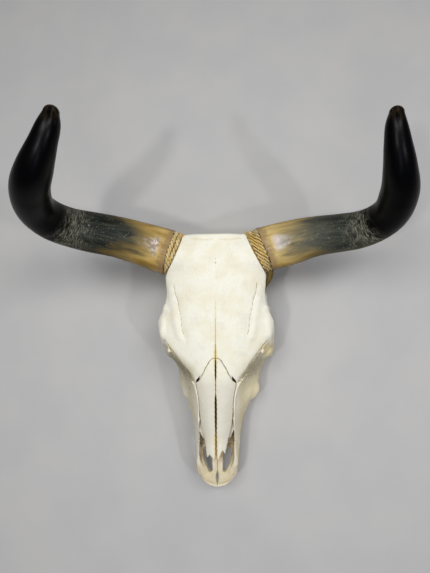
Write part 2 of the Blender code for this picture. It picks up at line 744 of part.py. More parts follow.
skull = new_object("skull", *field_mesh(GRID_LOW, GRID_HIGH, GRID))
thin = skull.modifiers.new("thin", "DECIMATE")
thin.ratio = SKULL_TRIANGLES / (2.0 * len(skull.data.polygons))
thin.use_collapse_triangulate = True
settle(skull)

half = SUTURE_GAP / 2
rear_outline = [(-BEYOND, BEYOND)] + shifted(CRANIUM_MAXILLA, -half) + [(-BEYOND, -BEYOND)]
tools = {"rear": prism("rear", rear_outline, -BEYOND, BEYOND)}
for side, sign in (("left", -1), ("right", 1)):
    middle = shifted(CRANIUM_MAXILLA, half) + shifted(MAXILLA_PREMAXILLA, -half)[::-1]
    front = shifted(MAXILLA_PREMAXILLA, half) + [(BEYOND, -BEYOND), (BEYOND, BEYOND)]
    tools["middle_" + side] = prism("middle_" + side, middle, sign * half, sign * BEYOND)
    tools["front_" + side] = prism("front_" + side, front, sign * half, sign * BEYOND)
    tools["seat_" + side] = nasal_plate("seat_" + side, sign, SUTURE_GAP)
for side, stations, wrap in (("left", HORN_LEFT, WRAP_LEFT), ("right", HORN_RIGHT, WRAP_RIGHT)):
    tools["ring_" + side] = rope_seat("ring_" + side, stations, wrap)
    tools["sheath_" + side] = horn_clearance("sheath_" + side, stations, wrap)
    horn("horn_" + side, stations, wrap, HORN)
    rope_wrap("rope_wrap_" + side, stations, wrap, ROPE)

tools["floor"] = floor_block("floor")
floor = tools["floor"]
seats = [(tools["seat_left"], "DIFFERENCE"), (tools["seat_right"], "DIFFERENCE")]
pedicle_cuts = [(tools[k], "DIFFERENCE") for k in ("ring_left", "ring_right", "sheath_left", "sheath_right")]
skull_part("cranium", skull, [(tools["rear"], "INTERSECT")] + seats + pedicle_cuts, floor, BONE)
for side in ("left", "right"):
    skull_part("maxilla_" + side, skull, [(tools["middle_" + side], "INTERSECT")] + seats, floor, BONE)
    skull_part("premaxilla_" + side, skull, [(tools["front_" + side], "INTERSECT")] + seats, floor, BONE)
nasal_plate("nasal_left", -1, 0.0, BONE)
nasal_plate("nasal_right", 1, 0.0, BONE)

for item in list(tools.values()) + [skull]:
    bpy.data.objects.remove(item, do_unlink=True)
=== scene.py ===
"""Looks of the life-size cattle skull: bones meshed finely from one signed field,
lofted horns, twisted rope round each horn base, floor, lights and camera.

Skull frame: millimetres, x to the right of the picture, s from the poll towards
the muzzle, h up from the forehead plane. to_world turns it into the row frame.
"""
import math
import bpy
import numpy as np
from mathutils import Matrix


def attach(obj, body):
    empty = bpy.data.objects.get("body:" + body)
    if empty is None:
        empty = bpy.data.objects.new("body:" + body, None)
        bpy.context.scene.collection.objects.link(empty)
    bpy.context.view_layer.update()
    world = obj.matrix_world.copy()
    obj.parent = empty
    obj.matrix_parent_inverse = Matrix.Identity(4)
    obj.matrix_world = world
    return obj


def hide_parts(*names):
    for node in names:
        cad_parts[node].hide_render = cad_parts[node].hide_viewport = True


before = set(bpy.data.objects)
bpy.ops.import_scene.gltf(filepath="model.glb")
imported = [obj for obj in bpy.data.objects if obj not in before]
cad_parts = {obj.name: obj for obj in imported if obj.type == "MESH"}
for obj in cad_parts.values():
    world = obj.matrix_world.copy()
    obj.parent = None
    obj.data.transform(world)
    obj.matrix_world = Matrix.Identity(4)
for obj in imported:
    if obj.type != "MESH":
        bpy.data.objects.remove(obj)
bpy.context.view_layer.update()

import openvdb as vdb
from mathutils import Matrix, Vector

# Metres in a millimetre, the stretch of a round bar, a height or depth outside the skull
MM = 0.001
ROUND = (1.0, 1.0, 1.0)
BEYOND = 600.0

# Gap between the floor and the skull, metres
FLOOR_GAP = 0.0004

# Rest of the skull on the floor
REST_TILT = math.radians(3.62)
REST_SHIFT = np.array([-7.35, 181.0, 177.75])

# Fineness of the meshes
VOXEL = 1.4
GRID_S = (-20.0, 518.0)
GRID_H = (-184.0, 14.0)
GRID_X = 130.0
BAND = 3.0 * VOXEL
NASAL_MESH = (260, 44)
HORN_RINGS = 420
LIP_RINGS = 5
TIP_RINGS = 14
HORN_SIDES = 112
CORD_STEPS = 301
TAIL_STEPS = 40

# Bones; swells of the surface: height, doublings of their grid, seed
BONE_SWELLS = ((0.55, 4, 11), (0.16, 2, 12))
SUTURE_GAP = 0.7
SUTURE_WAVE = 1.1
MEDIAN_GAP = 0.3
NASAL_THICKNESS = 4.6
NASAL_SEAT_GAP = 0.5
NASAL_RIM = 1.7
TOOTH_CROWN = 24.0
TOOTH_LENGTHS = (27, 28, 25, 21, 19, 17)
TOOTH_RIB = 0.9
TOOTH_FILLET = 1.5
TOOTH_SIDES = (30, 80)
ALVEOLAR_HEIGHT = -141.0
ROOT_HEIGHT = -118.0
OCCLUSAL_SLOPE = 0.070
ORBIT_CENTRE = (104, 179, -58)
ORBIT_RADII = (35, 33)
ORBIT_LEAN = 3.0
ORBIT_RIM = 5.5
ORBIT_FILLET = 7
HOLLOW_REACH = 6.0
PORE_SIZE = 2.3

# Dorsal surface along the skull: s, midline h, edge half-width, drop at the edge, power
TOP = np.array([
    (-14, -7, 68, 16, 3.0),
    (4, -1, 74, 18, 3.0),
    (30, 0, 84, 18, 3.2),
    (52, 1, 94, 21, 3.2),
    (79, 1, 100, 25, 3.2),
    (118, -1, 97, 21, 3.2),
    (150, -2, 104, 22, 2.8),
    (176, -3, 115.5, 25, 2.6),
    (206, -4, 101, 20, 2.4),
    (232, -5, 82, 17, 2.2),
    (263, -7, 59.5, 12, 2.2),
    (291, -9, 40, 9, 2.2),
    (311, -11, 36.5, 11, 2.1),
    (345, -15, 33, 13, 2.0),
    (380, -19, 30, 14, 2.0),
    (420, -25, 22, 9, 2.0),
    (450, -30, 16, 6, 2.0),
    (520, -42, 12, 4, 2.0),
])

# Flank and underside of the half section at each station, below the dorsal edge: x, h pairs
FLANK = {
    4: [70, -36, 68, -56, 74, -78, 94, -96, 90, -120, 58, -133, 22, -137, 0, -136],
    30: [76, -38, 68, -58, 74, -80, 104, -98, 96, -122, 62, -134, 24, -138, 0, -136],
    52: [84, -40, 64, -58, 66, -80, 102, -100, 92, -122, 58, -134, 24, -139, 0, -138],
    79: [94, -38, 64, -54, 60, -80, 74, -102, 72, -118, 48, -132, 20, -138, 0, -138],
    118: [93, -34, 66, -50, 57, -78, 55, -102, 48, -119, 30, -130, 14, -134, 0, -134],
    150: [100, -36, 68, -48, 47, -72, 43, -98, 37, -115, 25, -125, 12, -127, 0, -126],
    176: [108, -38, 70, -46, 43, -66, 42, -92, 40, -112, 29, -121, 12, -122, 0, -120],
    206: [109, -46, 113, -66, 116, -82, 104, -98, 74, -107, 58, -124, 24, -120, 0, -113],
    232: [93, -44, 104, -66, 108, -82, 100, -98, 73, -108, 66, -128, 32, -118, 0, -113],
    263: [70, -40, 81, -64, 91, -86, 91, -98, 74, -110, 66, -137, 36, -120, 0, -114],
    291: [53, -38, 66, -64, 81, -90, 82, -101, 69, -113, 64, -139, 36, -120, 0, -115],
    311: [48, -42, 61, -68, 77, -93, 79, -102, 67, -114, 61, -139, 34, -120, 0, -115],
    345: [44, -46, 53, -66, 60.5, -88, 63.5, -101, 59.5, -115, 54, -134, 30, -119, 0, -114],
    380: [38, -50, 45, -68, 50, -86, 51, -98, 49, -108, 40, -117, 22, -112, 0, -107],
    420: [31, -50, 39, -64, 44, -78, 47, -90, 44, -99, 32, -107, 18, -104, 0, -100],
    450: [29, -58, 38, -70, 43, -81, 45, -90, 42, -97, 29, -102, 16, -100, 0, -97],
    520: [30, -70, 38, -80, 43, -86, 45, -91, 41, -96, 28, -100, 14, -99, 0, -97],
}

# Nasal cavity half section at each station: x, h pairs
CAVITY = {
    236: [0, -24, 12, -25, 26, -38, 32, -60, 28, -84, 0, -92],
    262: [0, -14, 20, -19, 38, -42, 44, -66, 40, -90, 0, -98],
    291: [0, -12, 33, -21, 45, -46, 50, -70, 44, -94, 0, -100],
    311: [0, -13, 31, -23, 42, -46, 48, -70, 44, -94, 0, -100],
    345: [0, -17, 28, -29, 38, -48, 43, -70, 41, -92, 0, -99],
    380: [0, -21, 28, -29, 33.5, -46, 39, -70, 39, -88, 0, -94],
    420: [0, -10, 20, -20, 31, -50, 38, -72, 37, -86, 0, -90],
    450: [0, -10, 20, -20, 29, -58, 34, -76, 32, -86, 0, -90],
    486: [0, -20, 16, -30, 19, -62, 22, -78, 20, -86, 0, -88],
    520: [0, -20, 14, -30, 16, -62, 18, -78, 16, -86, 0, -88],
}
CAVITY_ENDS = (238, 486)
CAVITY_WIDTH = 70
CAVITY_HEIGHTS = (-120, 20)
CAVITY_FILLETS = (12, 5)

# Back of the skull seen from the side: h, s
NUCHAL_LINE = np.array([
    (-260, 52), (-175, 50), (-150, 47), (-120, 40), (-90, 27), (-60, 13), (-30, 4), (-6, -2), (40, -3),
])
NUCHAL_DISH = 0.0011
NUCHAL_FILLET = 6

# Front of the muzzle seen from above: s, half-width
MUZZLE_PLAN = np.array([
    (300, 200), (440, 60), (458, 48.5), (470, 44.5), (482, 40.5), (492, 34.5), (501, 27), (506.5, 19.5),
    (509.3, 10), (510.5, 0.5),
])
MUZZLE_SLOPE = 0.75
MUZZLE_FILLET = 4

# Rim of the nasal opening seen from the side: s, h
NASAL_OPENING = np.array([
    (300, 40), (360, 10), (379, -34), (409, -50), (430, -62), (448, -73), (462, -79), (476, -83),
    (488, -85), (520, -87),
])
OPENING_SLOPE = 0.85
OPENING_FILLET = 4

# Cheek teeth from the rear: s, middle x, half-width
TOOTH_LINE = np.array([(214, 56, 12.5), (260, 59, 12.3), (300, 57, 12), (351, 49, 9)])

# Lumps of bone: centre, radii, fillet
LUMPS = {
    "nuchal_tuber": ((0, 14, -62), (20, 12, 16), 10),
    "condyle": ((31, 36, -128), (19, 19, 21), 6),
    "tympanic_bulla": ((44, 88, -132), (13, 17, 13), 5),
    "jaw_joint": ((92, 66, -104), (16, 18, 14), 8),
    "facial_tuber": ((71, 307, -101), (8.5, 22, 8), 12),
    "lacrimal_lump": ((92, 228, -28), (4, 5.5, 4.5), 3),
    "zygomatic_lump": ((99, 231, -73), (9, 12, 16), 12),
}

# Bars of bone: (x, s, h, radius) points, stretch of the round section, fillet
BARS = {
    "horn_pedicle": ([(44, 43, -40, 41), (112, 30, -36, 38)], ROUND, 16),
    "paracondylar_process": ([(72, 58, -116, 13), (64, 57, -148, 9), (59, 59, -170, 5.5)], ROUND, 8),
    "zygomatic_arch": ([(70, 84, -99, 11), (88, 90, -94, 9.5), (98, 112, -88, 8.5), (101, 138, -86, 8),
                        (106, 160, -92, 8.5), (113, 184, -93, 10), (108, 212, -88, 12)],
                       (0.75, 1.0, 1.2), 6),
    "postorbital_bar": ([(97, 146, -30, 8), (104, 147, -56, 6.5), (103, 151, -84, 8)], ROUND, 6),
    "pterygoid_plate": ([(19, 214, -126, 5), (18, 178, -136, 4), (19, 140, -143, 4), (22, 118, -136, 4)],
                        (0.8, 1.0, 4.0), 4),
    "hamulus": ([(20, 205, -140, 3.5), (22, 214, -150, 2.5), (24, 220, -154, 1.8)], ROUND, 3),
}

# Hollows cut from the bone, in the same form
HOLLOWS = {
    "orbit": ([(132, 184, -58, 33), (66, 172, -66, 20)], ROUND, 4),
    "foramen_magnum": ([(0, -20, -122, 19), (0, 70, -116, 15)], ROUND, 4),
    "choana": ([(0, 80, -160, 13), (0, 150, -140, 13), (0, 216, -124, 13), (0, 262, -92, 10)],
               (1.0, 1.0, 1.3), 4),
    "supraorbital_groove": ([(77, 106, 3.5, 7), (71, 150, 2.5, 9), (64.5, 192, 0.5, 9), (57, 226, 0, 7)],
                            ROUND, 6),
    "palatine_fissure": ([(21, 438, -87, 8.5), (19, 458, -87, 8), (14.5, 477, -87, 4)],
                         (1.0, 1.0, 8.3), 2),
    "incisive_slit": ([(0, 480, -87, 0.7), (0, 491, -87, 2.7), (0, 503, -87, 0.6)], (1.0, 1.0, 8.3), 1),
    "nasal_corner_gap": ([(27.5, 270.5, -17, 0.4), (32.6, 280, -20, 1.1), (36.4, 286.2, -23, 2.5),
                          (38.6, 289.7, -24, 1.3)],
                         (1.0, 1.0, 6.0), 1),
    "nasion_gap": ([(0, 247, -12, 1.0), (0, 277, -18, 1.0)], (1.0, 1.0, 9.0), 0.5),
    "acoustic_meatus": ([(99, 78, -98, 4.6), (74, 82, -100, 4)], ROUND, 2),
    "infraorbital_foramen": ([(66, 358, -86, 4.4), (48, 344, -82, 4)], ROUND, 2),
    "opening_slit": ([(32, 362, -24, 1.0), (33, 376, -32, 2.0), (33.5, 394, -41, 2.6)],
                     (1.0, 1.0, 4.0), 0.5),
    "palatine_foramen": ([(24, 236, -128, 3.2), (23, 228, -110, 2.6)], ROUND, 1.5),
    "oval_foramen": ([(32, 120, -136, 4), (30, 122, -120, 3)], ROUND, 2),
    "optic_foramen": ([(50, 156, -72, 5), (34, 150, -74, 4)], ROUND, 2),
    "hypoglossal_foramen": ([(46, 50, -134, 3), (36, 52, -128, 2.4)], ROUND, 1.5),
    "occiput_dent": ([(16, 0, -44, 4), (22, 2, -56, 4)], ROUND, 6),
}

# Front plate of the ventral turbinate inside the nasal opening
SHELF = ([(33, 362, -48, 4.5), (28, 388, -50, 4.6), (23.5, 404, -51, 4.6), (20.5, 432, -55, 4.4)],
         (1.2, 1.0, 0.4))
SHELF_END = 420.0

# Low relief of the face: the frontal overhang and the lacrimal ridges beside it
FACE_GROOVES = {
    "frontal_overhang": ([(104, 202, -29, 2.6), (84.5, 230, -26, 3.4), (63, 260, -23.3, 3.2),
                          (45, 287, -23, 1.8)], ROUND, 1),
    "lacrimal_groove": ([(94, 240, -42, 1.8), (76, 262, -37, 2.0), (60, 286, -35.5, 1.4)], ROUND, 2),
    "muzzle_groove": ([(21, 499.5, -86, 1.0), (13, 504, -86.3, 1.3), (3.5, 505.5, -86.5, 1.2)], ROUND, 1),
}
FACE_RIDGES = {
    "lacrimal_ridge": ([(66, 268, -29.5, 0.8), (52, 284, -25, 1.0), (41, 302, -23.5, 1.2),
                        (36, 330, -26.5, 1.2), (35.2, 368, -34, 1.2), (35.8, 394, -43, 1.0)], ROUND, 2),
    "maxillary_ridge": ([(84, 268, -56, 2.0), (66, 298, -48, 1.8), (54, 326, -46, 1.5)], ROUND, 3),
    "muzzle_lip": ([(24, 503, -94, 2.6), (13, 508, -94.5, 3.2), (5, 508.5, -95, 2.6)], ROUND, 3),
}

# Relief of the forehead: x, s, height of the bar's middle over the surface, radius; fillet, sign
FOREHEAD = {
    "supraorbital_lobe": ([(86, 108, -7.5, 6), (81, 130, -8.2, 8), (77, 152, -8.6, 8.5), (74, 176, -8.4, 8),
                           (69, 200, -6.8, 6)], 8, 1),
    "supraorbital_crease": ([(82, 96, 1.6, 1.2), (79.5, 115, 0.9, 1.6), (74, 130, 0.5, 1.9),
                             (72, 143, 0.4, 2.0), (68.5, 157, 0.3, 2.0), (66.5, 172, 0.3, 2.0),
                             (65, 186, 0.5, 1.9), (61.5, 201, 1.1, 1.9), (57, 218, 1.8, 1.8)], 0.8, -1),
    "rear_foramen": ([(0, 48.5, 0, 1.4), (0, 50, -5, 1.2)], 0.4, -1),
    "front_foramen": ([(0, 57.5, 0, 1.3), (0, 58, -4, 1.1)], 0.4, -1),
    "midline_dent": ([(0, 79, 0.3, 1.3), (0, 86, 0.5, 1.2)], 1, -1),
}

# Plan outline of one nasal bone: half-width of its outer edge along s; its end; its inner edge
NASAL_EDGE = np.array([
    (243, 6), (246, 10), (253, 14.5), (262, 20), (270, 23.5), (280, 29.6), (287, 34.6), (291, 39.4),
    (297, 39), (311, 36), (330, 33.8), (350, 33.1), (370, 31.3), (388, 27.8), (402, 23.6), (415, 20.8),
    (424, 18.6), (432, 17), (440, 15),
])
NASAL_END = np.array([
    (0, 435), (0.12, 439), (0.26, 437.5), (0.42, 430), (0.54, 424), (0.66, 421), (0.82, 425), (0.95, 428),
    (1, 428),
])
LEFT_END_LONGER = 8.5
NASAL_INNER = np.array([
    (243, 0.4), (248, 0.9), (262, 1.2), (279, 1.0), (286, 0.25), (311, 0.25), (316, 1.1), (330, 1.7),
    (356, 1.7), (380, 1.3), (400, 1.0), (430, 1.1), (440, 1.8),
])

# Box that holds the seat of both nasal bones
NASAL_BOX = ((-45, 238, -60), (45, 445, 14))

# Side-view lines (s, h) that part the bones
CRANIUM_MAXILLA = [(296, BEYOND), (291, -20), (264, -58), (238, -98), (208, -120), (204, -BEYOND)]
MAXILLA_PREMAXILLA = [(388, BEYOND), (398, -42), (424, -84), (438, -BEYOND)]

# Seams drawn on the bone, and painted shadow lines in the creases and under the edge of the
# forehead: view, strength and points. The views "plan" and "brow" are x, s, "side" is s, h
# and "back" is x, h; "brow" reaches further down the edge of the forehead.
SEAM_REACH = 20.0
SEAM_STEP = 1.5
SEAMS_AND_SHADOW_LINES = [
    ("plan", 0.25, [(0, 132), (0, 165)]),
    ("plan", 0.6, [(0, 165), (0, 215)]),
    ("plan", 1.0, [(0, 215), (0, 243)]),
    # painted shadow line in the supraorbital crease
    ("plan", 0.8, [(82, 96), (79.5, 115), (74, 130), (72, 143), (68.5, 157), (66.5, 172), (65, 186),
                   (62, 198)]),
    # painted shadow line in the faint crease of the poll
    ("plan", 0.3, [(7, 10.5), (18, 11.5), (33, 11), (44, 8.5), (53, 9)]),
    # painted shadow line under the edge of the forehead
    ("brow", 0.7, [(101, 208), (86, 230), (65, 260), (48, 285)]),
    ("side", 0.7, [(292, -30), (262, -46), (236, -50), (212, -56)]),
    ("side", 0.7, [(206, -97), (236, -92), (270, -88), (298, -94), (300, -106)]),
    ("side", 0.7, [(140, -96), (152, -86), (166, -84), (172, -80)]),
    ("side", 0.5, [(150, -30), (136, -52), (120, -62), (96, -66), (76, -84)]),
    ("back", 0.6, [(0, -34), (24, -38), (48, -58), (62, -84), (66, -108)]),
]

# Seats of the ropes in the bone, and the space the horns take
ROPE_BORE = 38.5
SEAT_REACH = 54.0
SEAT_RISE = 6.0
SEAT_BOX = 80.0
CLEARANCE_RADIUS = 68.0

# Wraps: horn-base direction, turns, width at the poll side and at the muzzle side;
# their cords: least width, slant, fullness, pitch of the twist
WRAP_LEFT = ((-34.0, -9.9, 3.5), 2, 18.5, 8.0)
WRAP_RIGHT = ((28.5, -11.4, -0.2), 13, 25.7, 16.0)
CORD_LEFT = (8.2, 0.0, 1.04, 6.2)
CORD_RIGHT = (3.9, 30.0, 0.88, 20.0)
CREST_DEPTH = 0.8
STRANDS = 3
STRAND_OFFSET = 0.54
STRAND_RADIUS = 0.53
LOOSE_FIBRES = 130
LOOSE_RADIUS = 0.24

# Horn centre lines: x, s, h and diameter, from the rope outwards
HORN_LEFT = np.array([
    (-96.7, 31.1, -38.0, 95.5),
    (-127.0, 22.0, -23.0, 90.5),
    (-185.0, 7.5, 9.0, 81.0),
    (-241.5, -0.2, 36.5, 77.0),
    (-267.5, -4.4, 52.0, 73.5),
    (-288.5, -9.8, 80.0, 71.0),
    (-300.3, -21.5, 122.0, 66.0),
    (-286.5, -38.5, 173.0, 63.5),
    (-256.3, -60.9, 218.9, 55.0),
    (-234.8, -88.6, 239.9, 42.0),
    (-222.0, -117.0, 247.9, 31.5),
    (-219.8, -127.8, 248.6, 24.0),
])
HORN_RIGHT = np.array([
    (97.9, 25.8, -41.0, 93.0),
    (155.5, 13.5, -24.5, 87.5),
    (185.5, 7.7, -14.5, 80.0),
    (243.5, 2.6, 5.0, 72.5),
    (271.0, 0.6, 17.5, 70.0),
    (295.0, -5.0, 40.0, 66.5),
    (313.5, -18.0, 75.0, 63.5),
    (315.0, -39.0, 111.6, 62.0),
    (301.8, -69.8, 157.1, 51.0),
    (291.8, -99.1, 179.4, 40.6),
    (286.8, -127.5, 190.6, 29.5),
    (287.2, -138.8, 192.0, 22.5),
])
BASE_BLEND = 62.0

# Each horn: centre line, wrap, cord, seed, look (end of the amber, start of the black, paleness,
# which also sets the painted light and highlight on the base)
HORNS = {
    "left": (HORN_LEFT, WRAP_LEFT, CORD_LEFT, 21, (0.175, 0.465, 0.3)),
    "right": (HORN_RIGHT, WRAP_RIGHT, CORD_RIGHT, 22, (0.17, 0.495, 1.0)),
}

# Frayed tail below the right wrap: x, s, h, radius
TAIL = np.array([
    (110, 68, -40, 8), (109.5, 77, -41, 7.5), (105.5, 90, -42, 5.5), (102.2, 98.5, -43, 2.8),
    (100, 108, -44, 1.4), (99.5, 120, -44, 0.7),
])
TAIL_FIBRES = 70

# Tufts at the wraps: start, heading, length, spread, number of fibres, seed
TUFTS = [
    ((-70, 0.5, -12.5), (1, 0.15, 0.1), 11, 1.6, 90, 41),
    ((71, -1, -14), (-1, -0.05, 0.12), 13, 1.8, 110, 42),
]

# Camera of the photograph: turn in degrees, the skull-frame point it aims at, distance, focal
# length as a share of the picture's height
CAMERA_TURN = (5.0, 4.0, -0.3)
CAMERA_TARGET = np.array([[1.0, 104.0, 0.0]])
CAMERA_DISTANCE = 835.0
FOCAL_SHARE = 430.6 / 573


# Curves and fields

def hermite(knots, values, tangent, at):
    """Cubic through the knots with the given slopes."""
    index = np.clip(np.searchsorted(knots, at, side="right") - 1, 0, len(knots) - 2)
    span = (knots[index + 1] - knots[index])[..., None]
    t = (at - knots[index])[..., None] / span
    return (values[index] * (2 * t**3 - 3 * t**2 + 1) + values[index + 1] * (3 * t**2 - 2 * t**3)
            + span * tangent[index] * (t**3 - 2 * t**2 + t) + span * tangent[index + 1] * (t**3 - t**2))


def pchip(knots, values, at):
    """Shape-keeping cubic through the knots; values may have several columns."""
    knots = np.asarray(knots, dtype=float)
    values = np.asarray(values, dtype=float)
    step = np.diff(knots)[:, None]
    columns = values.reshape(len(knots), -1)
    slope = np.diff(columns, axis=0) / step
    same = slope[:-1] * slope[1:] > 0
    weight_a = 2 * step[1:] + step[:-1]
    weight_b = step[1:] + 2 * step[:-1]
    share = weight_a / np.where(same, slope[:-1], 1.0) + weight_b / np.where(same, slope[1:], 1.0)
    mean = np.where(same, (weight_a + weight_b) / share, 0.0)
    at = np.clip(np.asarray(at, dtype=float), knots[0], knots[-1])
    result = hermite(knots, columns, np.concatenate([slope[:1], mean, slope[-1:]]), at)
    return result.reshape(at.shape + values.shape[1:])


def read(table, at):
    """The table's columns at the given values of its first column."""
    values = pchip(table[:, 0], table[:, 1:], at)
    return values[..., 0] if values.shape[-1] == 1 else values


def spline(knots, values, at):
    """Catmull-Rom curve through the knots, at the given distances."""
    return hermite(knots, values, np.gradient(values, knots, axis=0), at)


def arc_length(points):
    """Distance along a line of points."""
    return np.concatenate([[0.0], np.cumsum(np.linalg.norm(np.diff(points, axis=0), axis=1))])


def unit(vector):
    """Vector or rows of vectors at length one."""
    return vector / np.linalg.norm(vector, axis=-1, keepdims=True)


def dot(a, b):
    """Sum of the products of three parts, which may be grids."""
    return a[0] * b[0] + a[1] * b[1] + a[2] * b[2]


def spokes(angle, a, b):
    """Directions at the angles from a towards b."""
    return np.cos(angle)[:, None] * a + np.sin(angle)[:, None] * b


def ease(value, low, high):
    """0 below low, 1 above high, eased between them."""
    t = np.clip((value - low) / (high - low), 0, 1)
    return t * t * (3 - 2 * t)


def hump(value, middle, width):
    """Bell curve, 1 at the middle."""
    return np.exp(-((value - middle) / width) ** 2)


def top_height(x, s):
    """Height of the dorsal surface over the plan point."""
    mid, edge, drop, power = np.moveaxis(read(TOP, s), -1, 0)
    return mid - drop * np.power(np.clip(np.abs(x) / edge, 0, 1.6), power)


def smooth_min(a, b, k):
    """Union of two fields with a fillet of size k."""
    blend = np.clip(0.5 + 0.5 * (b - a) / k, 0, 1)
    return b + (a - b) * blend - k * blend * (1 - blend)


def smooth_max(a, b, k):
    """Intersection of two fields with a fillet of size k."""
    return -smooth_min(-a, -b, k)


def section_curve(points, parts=9):
    """Catmull-Rom curve through each station's control points, mirrored at both ends."""
    mirror = np.array([-1.0, 1.0])
    padded = np.concatenate([points[:, 1:2] * mirror, points, points[:, -2:-1] * mirror], 1)
    curve = []
    for k in range(points.shape[1] - 1):
        p0, p1, p2, p3 = (padded[:, k + j] for j in range(4))
        for t in np.arange(parts) / parts:
            curve.append(0.5 * (2 * p1 + (p2 - p0) * t + (2 * p0 - 5 * p1 + 4 * p2 - p3) * t**2
                                + (3 * p1 - p0 - 3 * p2 + p3) * t**3))
    curve.append(points[:, -1])
    curve = np.stack(curve, 1)
    curve[..., 0] = np.maximum(curve[..., 0], 0)
    return curve.astype(np.float32)


def section_field(curves, x, h):
    """Signed distance in each cross-section to its half curve."""
    nearest = np.inf
    inside = False
    for k in range(curves.shape[1] - 1):
        (ax, ah), (bx, bh) = (curves[:, j].T[:, None, :, None] for j in (k, k + 1))
        dx = bx - ax
        dh = bh - ah
        t = np.clip(((x - ax) * dx + (h - ah) * dh) / (dx * dx + dh * dh + 1e-9), 0, 1)
        nearest = np.minimum(nearest, (x - ax - t * dx) ** 2 + (h - ah - t * dh) ** 2)
        level = np.where(np.abs(dh) < 1e-9, 1e-9, dh)
        inside = inside ^ (((ah > h) != (bh > h)) & (x < dx * (h - ah) / level + ax))
    distance = np.sqrt(nearest)
    return np.where(inside, -distance, distance)


def ellipsoid(p, centre, radii):
    """Approximate distance to an ellipsoid."""
    q = [(a - c) / r for a, c, r in zip(p, centre, radii)]
    slope = [a / r for a, r in zip(q, radii)]
    length = np.sqrt(dot(q, q))
    return length * (length - 1) / (np.sqrt(dot(slope, slope)) + 1e-6)


def rod(p, start, end, radius_a, radius_b, stretch):
    """Distance to a rod whose radius changes from one end to the other."""
    d = [(b - a) / f for a, b, f in zip(start, end, stretch)]
    q = [(c - a) / f for c, a, f in zip(p, start, stretch)]
    t = np.clip(dot(q, d) / dot(d, d), 0, 1)
    off = [a - t * b for a, b in zip(q, d)]
    return (np.sqrt(dot(off, off)) - (radius_a + t * (radius_b - radius_a))) * min(stretch)


def path(p, points, stretch, parts=4):
    """Round bar along a smooth curve through (x, s, h, radius) points."""
    points = np.asarray(points, dtype=float)
    reach = arc_length(points[:, :3])
    fine = [np.linspace(a, b, parts, endpoint=False) for a, b in zip(reach[:-1], reach[1:])]
    line = pchip(reach, points, np.concatenate(fine + [reach[-1:]]))
    field = np.inf
    for a, b in zip(line[:-1], line[1:]):
        field = np.minimum(field, rod(p, a[:3], b[:3], a[3], b[3], stretch))
    return field


def sections(table, line):
    """Control points of a table of cross-sections at each place along the skull."""
    return pchip(list(table), np.array(list(table.values())).reshape(len(table), -1, 2), line)


def face_and_vault(p):
    """Main body: lofted sections, the nuchal face and the front of the muzzle."""
    x, s, h = p
    line = s.ravel()
    edge = read(TOP[:, [0, 2]], line)
    ridge = [np.stack([edge * part, top_height(edge * part, line)], -1) for part in (0.0, 0.4, 0.75, 1.0)]
    control = np.concatenate([np.stack(ridge, 1), sections(FLANK, line)], 1)
    body = section_field(section_curve(control), x, h)
    dish = np.clip((-20 - h) / 60, 0, 1) * NUCHAL_DISH * x**2
    body = smooth_max(body, read(NUCHAL_LINE, h) + dish - s, NUCHAL_FILLET)
    return smooth_max(body, (x - read(MUZZLE_PLAN, s)) * MUZZLE_SLOPE, MUZZLE_FILLET)


def nasal_cavity(p):
    """The airway inside the face."""
    x, s, h = p
    hollow = section_field(section_curve(sections(CAVITY, s.ravel())), x, h)
    hollow = smooth_max(hollow, CAVITY_ENDS[0] - s, CAVITY_FILLETS[0])
    return smooth_max(hollow, s - CAVITY_ENDS[1], CAVITY_FILLETS[1])


def orbit_rim():
    """Closed bar round the eye socket."""
    a = np.linspace(0, 2 * math.pi, 25)
    x, s, h = ORBIT_CENTRE
    along, rise = ORBIT_RADII
    return np.column_stack([x + ORBIT_LEAN * np.cos(a), s + along * np.cos(a), h + rise * np.sin(a),
                            ORBIT_RIM + 0.5 * np.sin(7 * a)])


def tooth(p, start, middle, size):
    """One cheek tooth with its upright ribs."""
    across, half_width = read(TOOTH_LINE, middle)
    rib = TOOTH_RIB * np.cos(2 * math.pi * 2 * (p[1] - middle) / size)
    crown = ALVEOLAR_HEIGHT - TOOTH_CROWN + OCCLUSAL_SLOPE * (p[1] - start)
    shape = smooth_max(np.abs(p[0] - across) - half_width - rib, np.abs(p[1] - middle) - size / 2 + 0.5, 4)
    shape = smooth_max(shape, crown - p[2], 2)
    for shift in (-0.22, 0.22):
        pit = ((p[0] - across) / 4.5) ** 2 + ((p[1] - middle - shift * size) / 2.2) ** 2
        shape = smooth_max(shape, np.minimum(3.5 - pit * 3.5, crown + 5 - p[2]), 1)
    return smooth_max(shape, p[2] - ROOT_HEIGHT, 3)


def tooth_row():
    """Start, middle and size of each cheek tooth along the skull."""
    start = TOOTH_LINE[0, 0]
    scale = (TOOTH_LINE[-1, 0] - start) / sum(TOOTH_LENGTHS)
    ends = start + np.cumsum((0,) + TOOTH_LENGTHS) * scale
    return [(start, (a + b) / 2, b - a) for a, b in zip(ends[:-1], ends[1:])]


# The grid

def refine(values, axis):
    """Twice as many samples along an axis, on a cubic through the old ones."""
    values = np.moveaxis(values, axis, 0)
    padded = np.concatenate([2 * values[:1] - values[1:2], values, 2 * values[-1:] - values[-2:-1]])
    middle = (9 * (padded[1:-2] + padded[2:-1]) - padded[:-3] - padded[3:]) / 16
    fine = np.empty((2 * len(values) - 1,) + values.shape[1:], values.dtype)
    fine[::2] = values
    fine[1::2] = middle
    return np.moveaxis(fine, 0, axis)


def refined(function, axes):
    """Smooth field worked out on every second sample of the axes and refined."""
    x, s, h = (a[::2] for a in axes)
    values = function((np.abs(x)[:, None, None], s[None, :, None], h[None, None, :])).astype(np.float32)
    for axis in range(3):
        values = refine(values, axis)
    return values


